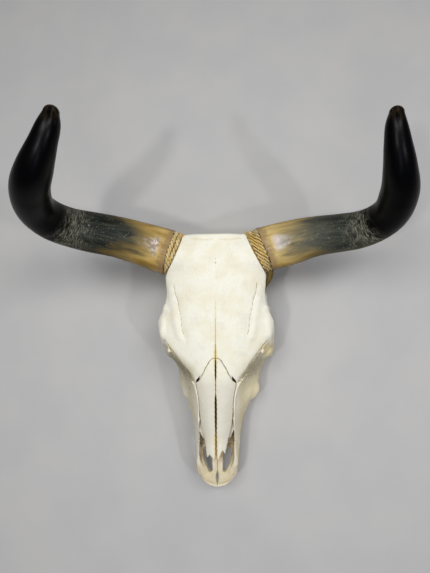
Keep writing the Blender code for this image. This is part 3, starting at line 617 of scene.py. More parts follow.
def lattice_noise(shape, doublings, seed):
    """Smooth noise between about -1 and 1, with one random value each 2**doublings samples."""
    random = np.random.default_rng(seed)
    size = [n // 2**doublings + 3 for n in shape]
    values = random.uniform(-1, 1, size).astype(np.float32)
    for _ in range(doublings):
        for axis in range(3):
            values = refine(values, axis)
    return values[tuple(slice(0, n) for n in shape)]


def near(axes, low, high, pad):
    """Slices of the grid round a box, and the coordinates there."""
    slices = tuple(slice(*np.searchsorted(a, (lo - pad, hi + pad))) for a, lo, hi in zip(axes, low, high))
    x, s, h = (a[k] for a, k in zip(axes, slices))
    return slices, (x[:, None, None], s[None, :, None], h[None, None, :])


def bar_box(points, stretch):
    """Box round a bar."""
    points = np.asarray(points, dtype=float)
    reach = points[:, 3:] * np.array(stretch)
    return (points[:, :3] - reach).min(0), (points[:, :3] + reach).max(0)


def add_bar(field, axes, points, stretch, fillet, sign):
    """Adds a bar to the field, or carves it out where sign is -1."""
    low, high = bar_box(points, stretch)
    slices, p = near(axes, low, high, fillet + BAND)
    bar = path(p, points, stretch)
    field[slices] = sign * smooth_min(sign * field[slices], bar, fillet)


def half_skull(axes):
    """Half of the skull as a signed field, negative in the bone."""
    field = refined(face_and_vault, axes)
    for centre, radii, fillet in LUMPS.values():
        centre = np.array(centre, dtype=float)
        slices, p = near(axes, centre - radii, centre + radii, fillet + BAND)
        field[slices] = smooth_min(field[slices], ellipsoid(p, centre, radii), fillet)
    for points, stretch, fillet in [*BARS.values(), (orbit_rim(), ROUND, ORBIT_FILLET)]:
        add_bar(field, axes, points, stretch, fillet, 1)
    for start, middle, size in tooth_row():
        low = (TOOTH_SIDES[0], middle - size / 2 - 2, ALVEOLAR_HEIGHT - TOOTH_CROWN)
        high = (TOOTH_SIDES[1], middle + size / 2 + 2, ROOT_HEIGHT)
        slices, p = near(axes, low, high, BAND + 3)
        field[slices] = smooth_min(field[slices], tooth(p, start, middle, size), TOOTH_FILLET)
    for points, stretch, fillet in FACE_RIDGES.values():
        add_bar(field, axes, points, stretch, fillet, 1)
    for points, fillet, sign in FOREHEAD.values():
        points = [(x, s, top_height(x, s) + lift, radius) for x, s, lift, radius in points]
        add_bar(field, axes, points, ROUND, fillet, sign)
    for points, stretch, fillet in [*HOLLOWS.values(), *FACE_GROOVES.values()]:
        add_bar(field, axes, points, stretch, fillet, -1)
    low, high = zip((0, CAVITY_WIDTH), CAVITY_ENDS, CAVITY_HEIGHTS)
    slices, p = near(axes, low, high, BAND + CAVITY_FILLETS[0])
    hollow = refined(nasal_cavity, [a[k] for a, k in zip(axes, slices)])
    common = tuple(slice(0, n) for n in hollow.shape)
    field[slices][common] = smooth_max(field[slices][common], -hollow, 3)
    slices, p = near(axes, *bar_box(*SHELF), BAND)
    field[slices] = np.minimum(field[slices], np.maximum(path(p, *SHELF), p[1] - SHELF_END))
    opening = (axes[2][None, None, :] - read(NASAL_OPENING, axes[1])[None, :, None]) * OPENING_SLOPE
    return smooth_max(field, opening.astype(np.float32), OPENING_FILLET)


def side_line(line, h):
    """s of a side-view line, given from the top down, at each height."""
    s, heights = np.array(line[::-1]).T
    return np.interp(h, heights, s)


def wave(a, b):
    """Zigzag of a bone suture along two coordinates."""
    return SUTURE_WAVE * (0.6 * np.sin(a * 0.9 + 1.3 * np.sin(b * 0.31)) + 0.4 * np.sin(a * 0.41 + b * 0.77))


def wrap_frame(stations, wrap):
    """Centre of the horn base and unit vectors towards the muzzle, up and out."""
    out = unit(np.array(wrap[0]))
    down = unit(np.array([0.0, 1.0, 0.0]) - out * out[1])
    up = np.cross(down, out)
    return stations[0, :3], down, up * np.sign(up[2]), out


def wrap_width(wrap, cosine):
    """Width of the wrap; the cosine is 1 at the muzzle side and -1 at the poll side."""
    return wrap[2] - (wrap[2] - wrap[3]) * (0.5 + 0.5 * cosine) ** 3


def carve_horn_base(field, axes, stations, wrap):
    """Seats the rope and trims the pedicle where the sheath starts."""
    centre, down, up, out = wrap_frame(stations, wrap)
    slices, p = near(axes, centre - SEAT_BOX, centre + SEAT_BOX, 4)
    q = [a - c for a, c in zip(p, centre)]
    depth = -dot(q, out)
    along = dot(q, down)
    rise = dot(q, up)
    radius = np.sqrt(along**2 + rise**2) + 1e-6
    width = wrap_width(wrap, along / radius)
    seat = np.maximum(depth - width - SUTURE_GAP, ROPE_BORE - 1.0 - radius)
    seat = np.maximum(seat, radius - SEAT_REACH - SEAT_RISE * rise / radius)
    sheath = np.maximum(depth - 0.4, radius - CLEARANCE_RADIUS)
    cut = np.minimum(np.maximum(seat, -2.0 - depth), sheath)
    field[slices] = smooth_max(field[slices], -cut, 1.0)


def skull_grid():
    """Whole skull: field on the full grid, with its axes."""
    x = (np.arange(-3.5, GRID_X / VOXEL) * VOXEL).astype(np.float32)
    s = np.arange(GRID_S[0], GRID_S[1], VOXEL).astype(np.float32)
    h = np.arange(GRID_H[0], GRID_H[1], VOXEL).astype(np.float32)
    axes = [a[:len(a) - 1 + len(a) % 2] for a in (x, s, h)]
    half = half_skull(axes)[4:]
    side = axes[0][4:]
    field = np.concatenate([half[::-1], half])
    axes[0] = np.concatenate([-side[::-1], side])
    for height, doublings, seed in BONE_SWELLS:
        field += height * lattice_noise(field.shape, doublings, seed)
    for stations, wrap, *_ in HORNS.values():
        carve_horn_base(field, axes, stations, wrap)
    return field, axes


def nasal_seat(p):
    """Space the two nasal bones take in their neighbours."""
    x, s, h = p
    width = np.abs(x) - read(NASAL_EDGE, s) - NASAL_SEAT_GAP
    depth = (top_height(x, s) - NASAL_THICKNESS - NASAL_SEAT_GAP) - h
    return np.maximum(np.maximum(width, NASAL_EDGE[0, 0] - NASAL_SEAT_GAP - s), depth)


def bone_fields(field, axes):
    """Name, field and axes of each bone, parted along the sutures."""
    slices, p = near(axes, *NASAL_BOX, 0)
    field = field.copy()
    field[slices] = np.maximum(field[slices], -nasal_seat(p))
    gap = SUTURE_GAP / 2
    ends = {
        "cranium": (GRID_S[0], 300, None, CRANIUM_MAXILLA),
        "maxilla": (200, 444, CRANIUM_MAXILLA, MAXILLA_PREMAXILLA),
        "premaxilla": (380, GRID_S[1], MAXILLA_PREMAXILLA, None),
    }
    for bone, (start, end, rear, front) in ends.items():
        slices, (x, s, h) = near(axes, (-GRID_X, start, GRID_H[0]), (GRID_X, end, GRID_H[1]), 0)
        part = field[slices]
        shift = wave(h, x) + wave(x, h)
        if rear:
            part = np.maximum(part, side_line(rear, h) + shift + gap - s)
        if front:
            part = np.maximum(part, s - side_line(front, h) - shift + gap)
        local = [a[k] for a, k in zip(axes, slices)]
        if bone == "cranium":
            yield bone, part, local
            continue
        for side, sign in (("left", -1), ("right", 1)):
            keep = sign * local[0] > -4
            cut = MEDIAN_GAP / 2 + 0.25 * wave(s, h) - sign * local[0][keep][:, None, None]
            yield bone + "_" + side, np.maximum(part[keep], cut), [local[0][keep], local[1], local[2]]


# Meshes

def to_world(points):
    """Skull frame to the row frame, metres."""
    x, s, h = np.asarray(points, dtype=float).T
    cosine = math.cos(REST_TILT)
    sine = math.sin(REST_TILT)
    turned = np.column_stack([x, -s * cosine - h * sine, -s * sine + h * cosine])
    world = (turned + REST_SHIFT) * MM
    world[:, 2] = np.maximum(world[:, 2], 0)
    return world


def lean(points):
    """Points moved by the small sideways lean of the real skull."""
    x, s, h = points.T
    middle = 1.6 * (1 - ease(np.abs(x), 40, 95)) * ease(h, -75, -35)
    face = 3.0 * ease(s, 212, 245) * (1 - ease(s, 318, 372)) * ease(-h, 40, 80)
    face = face + 3.6 * hump(s, 316, 13) * ease(-h, 60, 90)
    brow = 3.5 * hump(s, 272, 17) * ease(-x, 28, 58)
    cheek = 4.5 * hump(s, 233, 18) * ease(x, 70, 100) * ease(-h, 38, 60)
    return np.column_stack([x + middle + face + brow + cheek, s, h])


def add_object(name, data):
    """New object of the scene."""
    item = bpy.data.objects.new(name, data)
    bpy.context.scene.collection.objects.link(item)
    return item


def new_piece(name, points, quads, material, marks):
    """Smooth mesh object from skull-frame points and quads, with named point values."""
    mesh = bpy.data.meshes.new(name)
    count = len(quads)
    mesh.vertices.add(len(points))
    mesh.vertices.foreach_set("co", to_world(points).astype(np.float32).ravel())
    mesh.loops.add(4 * count)
    mesh.loops.foreach_set("vertex_index", np.asarray(quads, dtype=np.int32).ravel())
    mesh.polygons.add(count)
    mesh.polygons.foreach_set("loop_start", np.arange(0, 4 * count, 4, dtype=np.int32))
    mesh.update(calc_edges=True)
    mesh.validate()
    for key, values in marks.items():
        kind, field = ("FLOAT", "value") if values.ndim == 1 else ("FLOAT_VECTOR", "vector")
        layer = mesh.attributes.new(key, kind, "POINT")
        layer.data.foreach_set(field, np.asarray(values, dtype=np.float32).ravel())
    mesh.shade_smooth()
    mesh.materials.append(material)
    return add_object(name, mesh)


def largest_shell(points, quads):
    """Only the connected surface with the most points."""
    label = np.arange(len(points))
    while True:
        low = label[quads].min(1)
        new = label.copy()
        for k in range(4):
            np.minimum.at(new, quads[:, k], low)
        new = new[new]
        if np.array_equal(new, label):
            break
        label = new
    keep = label == np.bincount(label).argmax()
    index = np.cumsum(keep) - 1
    return points[keep], index[quads[keep[quads[:, 0]]]]


def surface(field, axes):
    """Points and outward quads of the zero surface."""
    padded = np.pad(np.clip(field, -BAND, BAND), 1, constant_values=BAND)
    grid = vdb.FloatGrid(BAND)
    grid.copyFromArray(padded.astype(np.float32))
    points, quads = grid.convertToQuads()
    points = (points - 1) * VOXEL + np.array([a[0] for a in axes])
    points, quads = largest_shell(points, quads.astype(np.int64))
    corner = points[quads]
    normal = np.cross(corner[:, 2] - corner[:, 0], corner[:, 3] - corner[:, 1])
    if (normal * corner.mean(1)).sum() < 0:
        quads = quads[:, ::-1]
    return points, quads


def sample(values, axes, points):
    """Values of a grid at points, by the nearest sample."""
    index = [np.clip(np.rint((p - a[0]) / VOXEL).astype(int), 0, len(a) - 1) for p, a in zip(points.T, axes)]
    return values[tuple(index)]


def blurred(values, radius):
    """Box blur along the three axes, twice."""
    for axis in (0, 1, 2, 0, 1, 2):
        moved = np.moveaxis(values, axis, 0)
        padded = np.concatenate([moved[:1]] * (radius + 1) + [moved] + [moved[-1:]] * radius)
        total = np.cumsum(padded, 0, dtype=np.float32)
        moved = (total[2 * radius + 1:] - total[:-2 * radius - 1]) / (2 * radius + 1)
        values = np.moveaxis(moved, 0, axis)
    return values


def seam_and_shadow_distance(points):
    """Distance to the nearest of the drawn seams and painted shadow lines, weakened by its strength."""
    x = np.abs(points[:, 0])
    s, h = points[:, 1:].T
    below = top_height(x, s) - h
    views = {
        "plan": (x, s, below < 9),
        "brow": (x, s, below < 28),
        "side": (s, h, (below >= 9) & (x > 40)),
        "back": (x, h, s < 60),
    }
    nearest = np.full(len(points), SEAM_REACH)
    for number, (view, strength, line) in enumerate(SEAMS_AND_SHADOW_LINES):
        a, b, allowed = views[view]
        line = np.array(line, dtype=float)
        reach = arc_length(line)
        at = np.arange(0, reach[-1], SEAM_STEP)
        fine = pchip(reach, line, at)
        wiggle = 0.9 * np.sin(at * 0.8 + number) * np.sin(at * 0.23 + 2 * number) + 0.5 * np.sin(at * 1.7)
        wiggle *= 0.35 if view == "plan" else 1.0
        across = np.gradient(fine, axis=0)[:, ::-1] * (1, -1)
        fine = fine + unit(across) * wiggle[:, None]
        for (a0, b0), (a1, b1) in zip(fine[:-1], fine[1:]):
            close = allowed & (np.abs(a - a0) < 8) & (np.abs(b - b0) < 8)
            da, db = a1 - a0, b1 - b0
            qa, qb = a[close] - a0, b[close] - b0
            t = np.clip((qa * da + qb * db) / (da * da + db * db), 0, 1)
            gap = np.hypot(qa - t * da, qb - t * db) + 0.8 * (1 - strength)
            nearest[close] = np.minimum(nearest[close], gap)
    return nearest


def bone_marks(points, hollow_grid, axes):
    """Point values that steer the bone's colour."""
    across, s, h = points.T
    x = np.abs(across)
    left = across < 0
    # how far past the edge of the dorsal surface, and how far below it
    past = x - read(TOP[:, [0, 2]], s)
    below = top_height(x, s) - h
    # sides of the face, which start a little earlier beside the orbit: an olive stain together
    # with painted shade, stronger just before the orbit and on the left
    early = 5 * ease(s, 222, 240) * (1 - ease(s, 280, 292))
    flank_stain_and_shade = ease(past + early, -1, 5) * ease(s, 120, 220)
    flank_stain_and_shade = np.maximum(flank_stain_and_shade, ease(below, 14, 40) * ease(s, 60, 200))
    flank_stain_and_shade *= (1 - 0.5 * ease(s, 380, 430)) * (0.6 + 1.1 * hump(s, 262, 28)) * np.where(left, 0.9, 0.6)
    # inside of the airway, paler on the plate in it
    inner = ease(below, 7, 14) * ease(4 - past, 0, 6) * ease(s, 240, 262)
    inner *= ease(h, -104, -97) * ease(500 - s, 0, 12)
    inner *= 1 - ease(s, 366, 372) * ease(x, 24, 30) * ease(h, -44, -38)
    wall = ease(s, 372, 384) * ease(36.5 - x, 0, 3) * ease(-h, 48, 54)
    plate = ease(s, 360, 368) * ease(s, 425, 422) * ease(x, 16, 20) * (x < 38)
    plate *= ease(h, -60, -56) * ease(-h, 38, 42)
    inner = np.maximum(inner, 0.75 * wall) * (1 - 0.85 * ease(s, 444, 466)) * (1 - 0.5 * plate)
    # teeth, muzzle corners and the warm light on the cheeks
    teeth = ease(-h, -ALVEOLAR_HEIGHT - 1, -ALVEOLAR_HEIGHT + 3) * ease(s, 205, 212)
    corner = ease(x - read(MUZZLE_PLAN, s), -11, -2) * ease(s, 456, 470)
    cheek = np.maximum(ease(past, -1, 3), ease(below, 3, 18)) * ease(x, 22, 38)
    cheek *= (1 - ease(s, 420, 470)) * np.where(left, 0.35, 1)
    bulge = hump(s, 229, 19) * ease(across, 88, 100)
    # painted shade in a band before the orbit, stronger on the left, and the seams that are golden
    shaded_band = hump(s, 264, 26) * ease(past + early, -5, 0) * ease(below, 1, 6)
    gold = hump(s, 238, 16) * hump(x, 0, 9) + 0.25 * hump(s, 226, 8) * hump(x, 93, 7)
    gold += 0.9 * ease(s, 380, 400) * (x < 6)
    shade = ease(s, 268, 300) * (1 - 0.9 * ease(s, 385, 425))
    return {
        "seam_and_shadow_line": seam_and_shadow_distance(points),
        "recess": sample(hollow_grid, axes, points) * (1 - 0.4 * plate),
        "flank_stain_and_shade": flank_stain_and_shade,
        "inner": inner,
        "teeth": teeth * ease(x, 30, 38),
        "gold": np.clip(gold, 0, 1) - 0.22 * ((x > 50) & (s < 215)),
        "muzzle": ease(s, 405, 455) * ease(below, 10, 40),
        "corner": corner * (1 - 0.6 * ease(s, 490, 502)),
        "golden": cheek * np.clip(bulge + 0.6 * ease(s, 262, 300) + 0.4 * ease(s, 330, 380), 0, 1),
        "shaded_band": shaded_band * (1 - ease(below, 30, 45)) * np.where(left, 1, 0.6),
        # painted shade inside the edge of the forehead, stronger on the left
        "rim": ease(past, -24, -2) * hump(s, 260, 24) * np.where(left, 1, 0.45),
        "shade": shade * ease(2 - past, 0, 3),
    }


def rough_up(points, amount, wavelength, seed):
    """Small smooth noise for points that are not on the grid."""
    random = np.random.default_rng(seed)
    total = np.zeros(len(points))
    for _ in range(7):
        direction = unit(random.normal(size=3))
        total += np.sin(points @ direction * (2 * math.pi / wavelength) * random.uniform(0.7, 1.4)
                        + random.uniform(0, 6.3))
    return amount * total / 3.5


def grid_quads(rows, columns, closed):
    """Quads of a point grid whose columns may close on themselves."""
    i, j = np.meshgrid(np.arange(rows - 1), np.arange(columns if closed else columns - 1), indexing="ij")
    k = (j + 1) % columns
    quads = np.stack([i * columns + j, i * columns + k, (i + 1) * columns + k, (i + 1) * columns + j], -1)
    return quads.reshape(-1, 4)


def nasal_bone(name, side, material, hollow_grid, axes):
    """One nasal bone: a thin arched plate with rounded rims and a forked end."""
    rows, columns = NASAL_MESH
    across = 0.5 - 0.5 * np.cos(np.linspace(0, math.pi, columns))
    u, v = np.meshgrid(np.linspace(0, 1, rows), across, indexing="ij")
    start = NASAL_EDGE[0, 0]
    end = read(NASAL_END, v)
    if side < 0:
        end = end + LEFT_END_LONGER * ease(v, 0.25, 0.6)
    s = start + (end - start) * u
    ragged = 0.45 * np.sin(s * 0.83 + side) * np.sin(s * 0.29) + 0.3 * np.sin(s * 1.9 + 2 * side)
    fade = ease(s, 244, 252)
    inner = read(NASAL_INNER, s) + 0.25 * fade * np.sin(s * 0.7 + 2 * side)
    outer = read(NASAL_EDGE, s) - NASAL_SEAT_GAP * 0.4 + ragged * fade
    if side < 0:
        outer = outer + 2.5 * ease(s, 405, 432)
    outer = np.maximum(outer - 0.7 * hump(s, 378, 26), inner + 1.5)
    x = inner + (outer - inner) * v
    from_edge = np.minimum(x - inner, outer - x)
    rim = np.minimum(np.minimum(from_edge, (1 - u) * 12), u * 30)
    rim = np.clip(rim / NASAL_RIM, 0, 1)
    round_off = NASAL_RIM * (1 - np.sqrt(1 - (1 - rim) ** 2))
    bulge = 1.1 * np.sin(math.pi * v) * ease(s, 250, 300)
    height = top_height(x, s) + bulge

    def sheet(level):
        return np.stack([side * x, s, level], -1)

    flat = sheet(height).reshape(-1, 3)
    grain = (rough_up(flat, 0.22, 26, 5 + side) + rough_up(flat, 0.1, 9, 9 + side)).reshape(x.shape)
    top = sheet(height - round_off + grain)
    bottom = sheet(height - NASAL_THICKNESS - bulge + round_off * 0.8)
    loop = np.concatenate([top, bottom[:, ::-1]], 1).reshape(-1, 3)
    caps = []
    for row in (0, rows - 1):
        base = row * 2 * columns
        for j in range(columns - 1):
            far = base + 2 * columns - 2 - j
            caps.append((base + j, base + j + 1, far, far + 1)[::1 if row else -1])
    quads = np.concatenate([grid_quads(rows, 2 * columns, True), caps])
    marks = bone_marks(loop, hollow_grid, axes)
    under = np.concatenate([np.zeros_like(x), np.ones_like(x)], 1).ravel()
    marks["seam_and_shadow_line"] = np.minimum(np.concatenate([from_edge, from_edge[:, ::-1]], 1).ravel() + 0.55, SEAM_REACH)
    marks["inner"] = under
    marks["flank_stain_and_shade"] = np.zeros(len(loop))
    # the underside takes some of the painted shade of a recess
    marks["recess"] = 0.5 + 0.2 * under
    return new_piece(name, lean(loop), quads[:, ::-side], material, marks)


def transport(line, first, blend):
    """Frames along a centre line without twist; the first direction fades out over a distance."""
    turn = ease(arc_length(line), 0, blend)[:, None]
    tangent = unit(unit(np.gradient(line, axis=0)) * turn + first * (1 - turn))
    across = np.array([0.0, 1.0, 0.0])
    frames = []
    for direction in tangent:
        across = unit(across - direction * np.dot(across, direction))
        frames.append((across, np.cross(direction, across)))
    return [np.array(k) for k in zip(*frames)]


def horn_piece(name, stations, wrap, seed, material):
    """Polished horn sheath: fine loft through its stations, with growth rings and grain."""
    reach = arc_length(stations[:, :3])
    fine = spline(reach, stations, np.linspace(0, reach[-1], HORN_RINGS))
    centres = fine[:, :3]
    radii = fine[:, 3] / 2
    out = unit(np.array(wrap[0]))
    turns = np.linspace(0, 0.5 * math.pi, TIP_RINGS + 1)[1:]
    caps = centres[-1] + unit(centres[-1] - centres[-2]) * (radii[-1] * 0.95 * np.sin(turns))[:, None]
    centres = np.vstack([centres, caps])
    radii = np.append(radii, radii[-1] * np.maximum(np.cos(turns), 0.004))
    across, up = transport(centres, out, BASE_BLEND)
    lip = np.arange(LIP_RINGS) / LIP_RINGS
    centres, across, up = (np.vstack([np.repeat(k[:1], LIP_RINGS, 0), k]) for k in (centres, across, up))
    radii = np.append(radii[0] * (0.02 + 0.95 * lip), radii)
    place = arc_length(centres)
    total = place[-1]
    random = np.random.default_rng(seed)
    ring = np.zeros_like(place)
    for _ in range(9):
        ring += np.sin(place / random.uniform(1.3, 4.0) + random.uniform(0, 6.3))
    ring *= 0.03 * (1 - ease(place, 0.15 * total, 0.75 * total))
    angle = np.linspace(0, 2 * math.pi, HORN_SIDES, endpoint=False)
    cos, sin = np.cos(angle), np.sin(angle)
    place = np.repeat(place[:, None], HORN_SIDES, 1)
    straight = np.stack([place, radii[:, None] * cos, radii[:, None] * sin], -1).reshape(-1, 3)
    swell = rough_up(straight * (0.35, 1, 1), 0.35, 38, seed + 1)
    swell += rough_up(straight * (0.12, 1, 1), 0.05, 9, seed + 2)
    swell = swell.reshape(place.shape) + ring[:, None]
    swell *= ease(radii / radii[LIP_RINGS], 0.2, 0.8)[:, None]
    swell = (radii[:, None] + swell)[..., None]
    points = centres[:, None] + swell * spokes(angle, across[:, None], up[:, None])
    direction = 1 if np.dot(np.cross(across[0], up[0]), out) > 0 else -1
    marks = {
        "straight": straight,
        "along": (place / total).ravel(),
        "face": (cos * across[:, 2:] + sin * up[:, 2:]).ravel(),
    }
    quads = grid_quads(len(place), HORN_SIDES, True)[:, ::direction]
    return new_piece(name, points.reshape(-1, 3), quads, material, marks)


def strand_tube(line, radii, sides, tint):
    """Points, quads and marks of one thin tube along a line, closed if its ends meet."""
    closed = np.linalg.norm(line[0] - line[-1]) < 1e-6
    if closed:
        line = line[:-1]
        radii = radii[:-1]
        tangent = unit(np.roll(line, -1, 0) - np.roll(line, 1, 0))
    else:
        tangent = unit(np.gradient(line, axis=0))
    across = line - line.mean(0)
    across = unit(across - tangent * (across * tangent).sum(1, keepdims=True))
    up = np.cross(tangent, across)
    angle = np.linspace(0, 2 * math.pi, sides, endpoint=False)
    points = line[:, None] + radii[:, None, None] * spokes(angle, across[:, None], up[:, None])
    points = points.reshape(-1, 3)
    quads = grid_quads(len(line) + closed, sides, True) % len(points)
    place, angle = np.meshgrid(arc_length(line), angle, indexing="ij")
    return points, quads, np.stack([place, angle, np.full(place.shape, tint)], -1).reshape(-1, 3)


def join_tubes(name, tubes, material, depth=None):
    """One piece from many tubes; depth gives how far each point lies under the crest."""
    points, quads, fibres = zip(*tubes)
    first = np.cumsum([0] + [len(k) for k in points])
    quads = np.concatenate([a + b for a, b in zip(quads, first)])
    points = np.concatenate(points)
    marks = {"fibre": np.concatenate(fibres), "depth": depth(points) if depth else np.zeros(len(points))}
    return new_piece(name, points, quads, material, marks)


def rope_piece(name, stations, wrap, thread, seed, material):
    """Turns of twisted cord bound round the horn base, three strands to a cord."""
    centre, down, up, out = wrap_frame(stations, wrap)
    turns = wrap[1]
    thinnest, slant, fullness, pitch = thread
    crest = stations[0, 3] / 2 - CREST_DEPTH
    random = np.random.default_rng(seed)
    tubes = []

    def bound(angle, inward, radius):
        return centre - out * inward[:, None] + spokes(angle, down, up) * radius[:, None]

    angle = np.linspace(0, 2 * math.pi, CORD_STEPS)
    width = wrap_width(wrap, np.cos(angle))
    cord = np.maximum((width + 2 * slant) / turns, thinnest) / 2 * fullness
    twists = round(2 * math.pi * crest / (cord.max() * pitch))
    for turn in range(turns):
        wander = 0.35 * np.sin(3 * angle + 2 * turn) + 0.2 * np.sin(7 * angle + turn)
        inward = (width + 2 * slant) * (turn + 0.5) / turns - slant * (1 + np.cos(angle))
        hidden = np.clip(np.abs(inward - width / 2) - width / 2 + cord, 0, 3)
        inward = SUTURE_GAP + np.clip(inward, cord, np.maximum(width - cord, cord)) + wander
        line = bound(angle, inward, crest - cord - hidden + 0.25 * np.sin(5 * angle + 3 * turn))
        for strand in range(STRANDS):
            phase = twists * angle + 2 * math.pi * strand / STRANDS + turn
            twisted = line + STRAND_OFFSET * cord[:, None] * spokes(phase, spokes(angle, down, up), out)
            twisted[-1] = twisted[0]
            tubes.append(strand_tube(twisted, STRAND_RADIUS * cord, 9, random.uniform(0, 1)))
    part = np.linspace(0, 1, 12)
    for number in range(LOOSE_FIBRES):
        bend = random.uniform(0, 2 * math.pi) + random.uniform(0.08, 0.25) * part
        edge = random.uniform(-0.1, 0.2) if number % 2 else random.uniform(0, 1)
        across = np.clip(edge + 0.25 * random.uniform(-1, 1) * (2 * part - 1), 0, 1.1)
        lift = random.uniform(0.2, 1.8) * part ** 2
        line = bound(bend, SUTURE_GAP + wrap_width(wrap, np.cos(bend)) * across, crest - 0.4 + lift)
        tubes.append(strand_tube(line, np.full(len(part), LOOSE_RADIUS), 5, 1.6))

    def depth(points):
        local = points - centre
        return (crest - np.linalg.norm(local - (local @ out)[:, None] * out, axis=1)) / cord.max()

    return join_tubes(name, tubes, material, depth)


def rope_tuft(start, heading, length, spread, count, seed):
    """Loose fibre ends fanning out of the wrap."""
    random = np.random.default_rng(seed)
    heading = unit(np.array(heading, dtype=float))
    reach = np.linspace(0, 1, 9)[:, None]
    tubes = []
    for _ in range(count):
        line = (start + random.normal(size=3) * spread + heading * length * random.uniform(0.5, 1) * reach
                + random.normal(size=3) * 0.6 * spread * reach ** 2)
        tubes.append(strand_tube(line, 0.34 - 0.2 * reach[:, 0], 5, random.uniform(0.3, 1.2)))
    return tubes


def rope_tail(name, material):
    """Tapering wad of frayed fibres below the right wrap."""
    random = np.random.default_rng(31)
    reach = arc_length(TAIL[:, :3])
    part = np.linspace(0, 1, TAIL_STEPS)
    fine = spline(reach, TAIL, reach[-1] * part)
    across, up = transport(fine[:, :3], unit(fine[1, :3] - fine[0, :3]), 1.0)
    tubes = []
    for _ in range(TAIL_FIBRES):
        angle = random.uniform(0, 2 * math.pi)
        spread = fine[:, 3:] * math.sqrt(random.uniform(0.05, 1))
        swirl = angle + random.uniform(-0.5, 1.1) * part
        strand = fine[:, :3] + spread * spokes(swirl, across, up)
        stop = random.integers(26, TAIL_STEPS)
        thick = random.uniform(0.5, 0.9) * np.linspace(1, 0.35, stop)
        tubes.append(strand_tube(strand[:stop], thick, 6, random.uniform(0, 0.5)))
    return join_tubes(name, tubes, material)


# Materials

def tone(red, green, blue):
    """Linear colour from display values of 0 to 255."""
    display = np.array([red, green, blue]) / 255
    linear = np.where(display <= 0.04045, display / 12.92, ((display + 0.055) / 1.055) ** 2.4)
    return (*linear, 1.0)


class Shade:
    """One material: short names for its nodes, and the colour laid on so far."""

    def __init__(self, name, **sockets):
        self.material = bpy.data.materials.new(name)
        self.material.use_nodes = True
        self.tree = self.material.node_tree
        self.shader = self.tree.nodes["Principled BSDF"]
        self.colour = None
        self.fill(self.shader, sockets)

    def put(self, value, socket):
        """Links a socket to this one, or sets its value; three display values are a colour."""
        if isinstance(value, bpy.types.NodeSocket):
            self.tree.links.new(value, socket)
        else:
            socket.default_value = tone(*value) if isinstance(value, tuple) else value

    def fill(self, node, inputs):
        """Fills a node's inputs by their names."""
        for key, value in inputs.items():
            self.put(value, node.inputs[key.replace("_", " ")])

    def node(self, kind, settings=None, **inputs):
        """New node with its settings and inputs."""
        made = self.tree.nodes.new("ShaderNode" + kind)
        for key, value in (settings or {}).items():
            setattr(made, key, value)
        self.fill(made, inputs)
        return made

    def mark(self, name, output="Fac"):
        """Point value stored on the mesh."""
        return self.node("Attribute", {"attribute_name": name}).outputs[output]

    def place(self, scale=ROUND):
        """Object coordinates, scaled to millimetres times scale."""
        return self.scaled(self.node("TexCoord").outputs["Object"], [k / MM for k in scale])

    def scaled(self, vector, scale):
        """Vector times a vector."""
        made = self.node("VectorMath", {"operation": "MULTIPLY"})
        self.put(vector, made.inputs[0])
        made.inputs[1].default_value = scale
        return made.outputs[0]

    def noise(self, vector, size, detail=3.0, rough=0.5, bend=0.0):
        """Noise whose patches are about size across."""
        return self.node("TexNoise", Vector=vector, Scale=1 / size, Detail=detail, Roughness=rough,
                         Distortion=bend).outputs["Fac"]

    def math(self, operation, a, b=0.0, clamp=False):
        """An operation on one or two values."""
        made = self.node("Math", {"operation": operation, "use_clamp": clamp})
        self.put(a, made.inputs[0])
        self.put(b, made.inputs[1])
        return made.outputs[0]

    def add(self, first, *others):
        """Sum of values."""
        for other in others:
            first = self.math("ADD", first, other)
        return first

    def mul(self, first, *others):
        """Product of values."""
        for other in others:
            first = self.math("MULTIPLY", first, other)
        return first

    def sway(self, value, size):
        """A value of 0 to 1 as a change of up to half of size either way."""
        return self.mul(self.math("SUBTRACT", value, 0.5), size)

    def span(self, value, low, high, start=0.0, end=1.0):
        """Value eased from start at low to end at high."""
        return self.node("MapRange", {"interpolation_type": "SMOOTHSTEP"}, Value=value, From_Min=low,
                         From_Max=high, To_Min=start, To_Max=end).outputs["Result"]

    def mix(self, factor, a, b):
        """Mix of two colours."""
        made = self.node("Mix", {"data_type": "RGBA"})
        for value, number in ((factor, 0), (a, 6), (b, 7)):
            self.put(value, made.inputs[number])
        return made.outputs[2]

    def paint(self, factor, colour):
        """Lays a colour over the ones before."""
        self.colour = self.mix(factor, self.colour, colour)

    def bump(self, height, distance, strength=1.0, below=None):
        """Normal from a height in millimetres."""
        made = self.node("Bump", Height=height, Distance=distance * MM, Strength=strength)
        if below is not None:
            self.put(below, made.inputs["Normal"])
        return made.outputs["Normal"]

    def finish(self, roughness, normal):
        """Connects the shader."""
        self.fill(self.shader, {"Base_Color": self.colour, "Roughness": roughness, "Normal": normal})
        return self.material


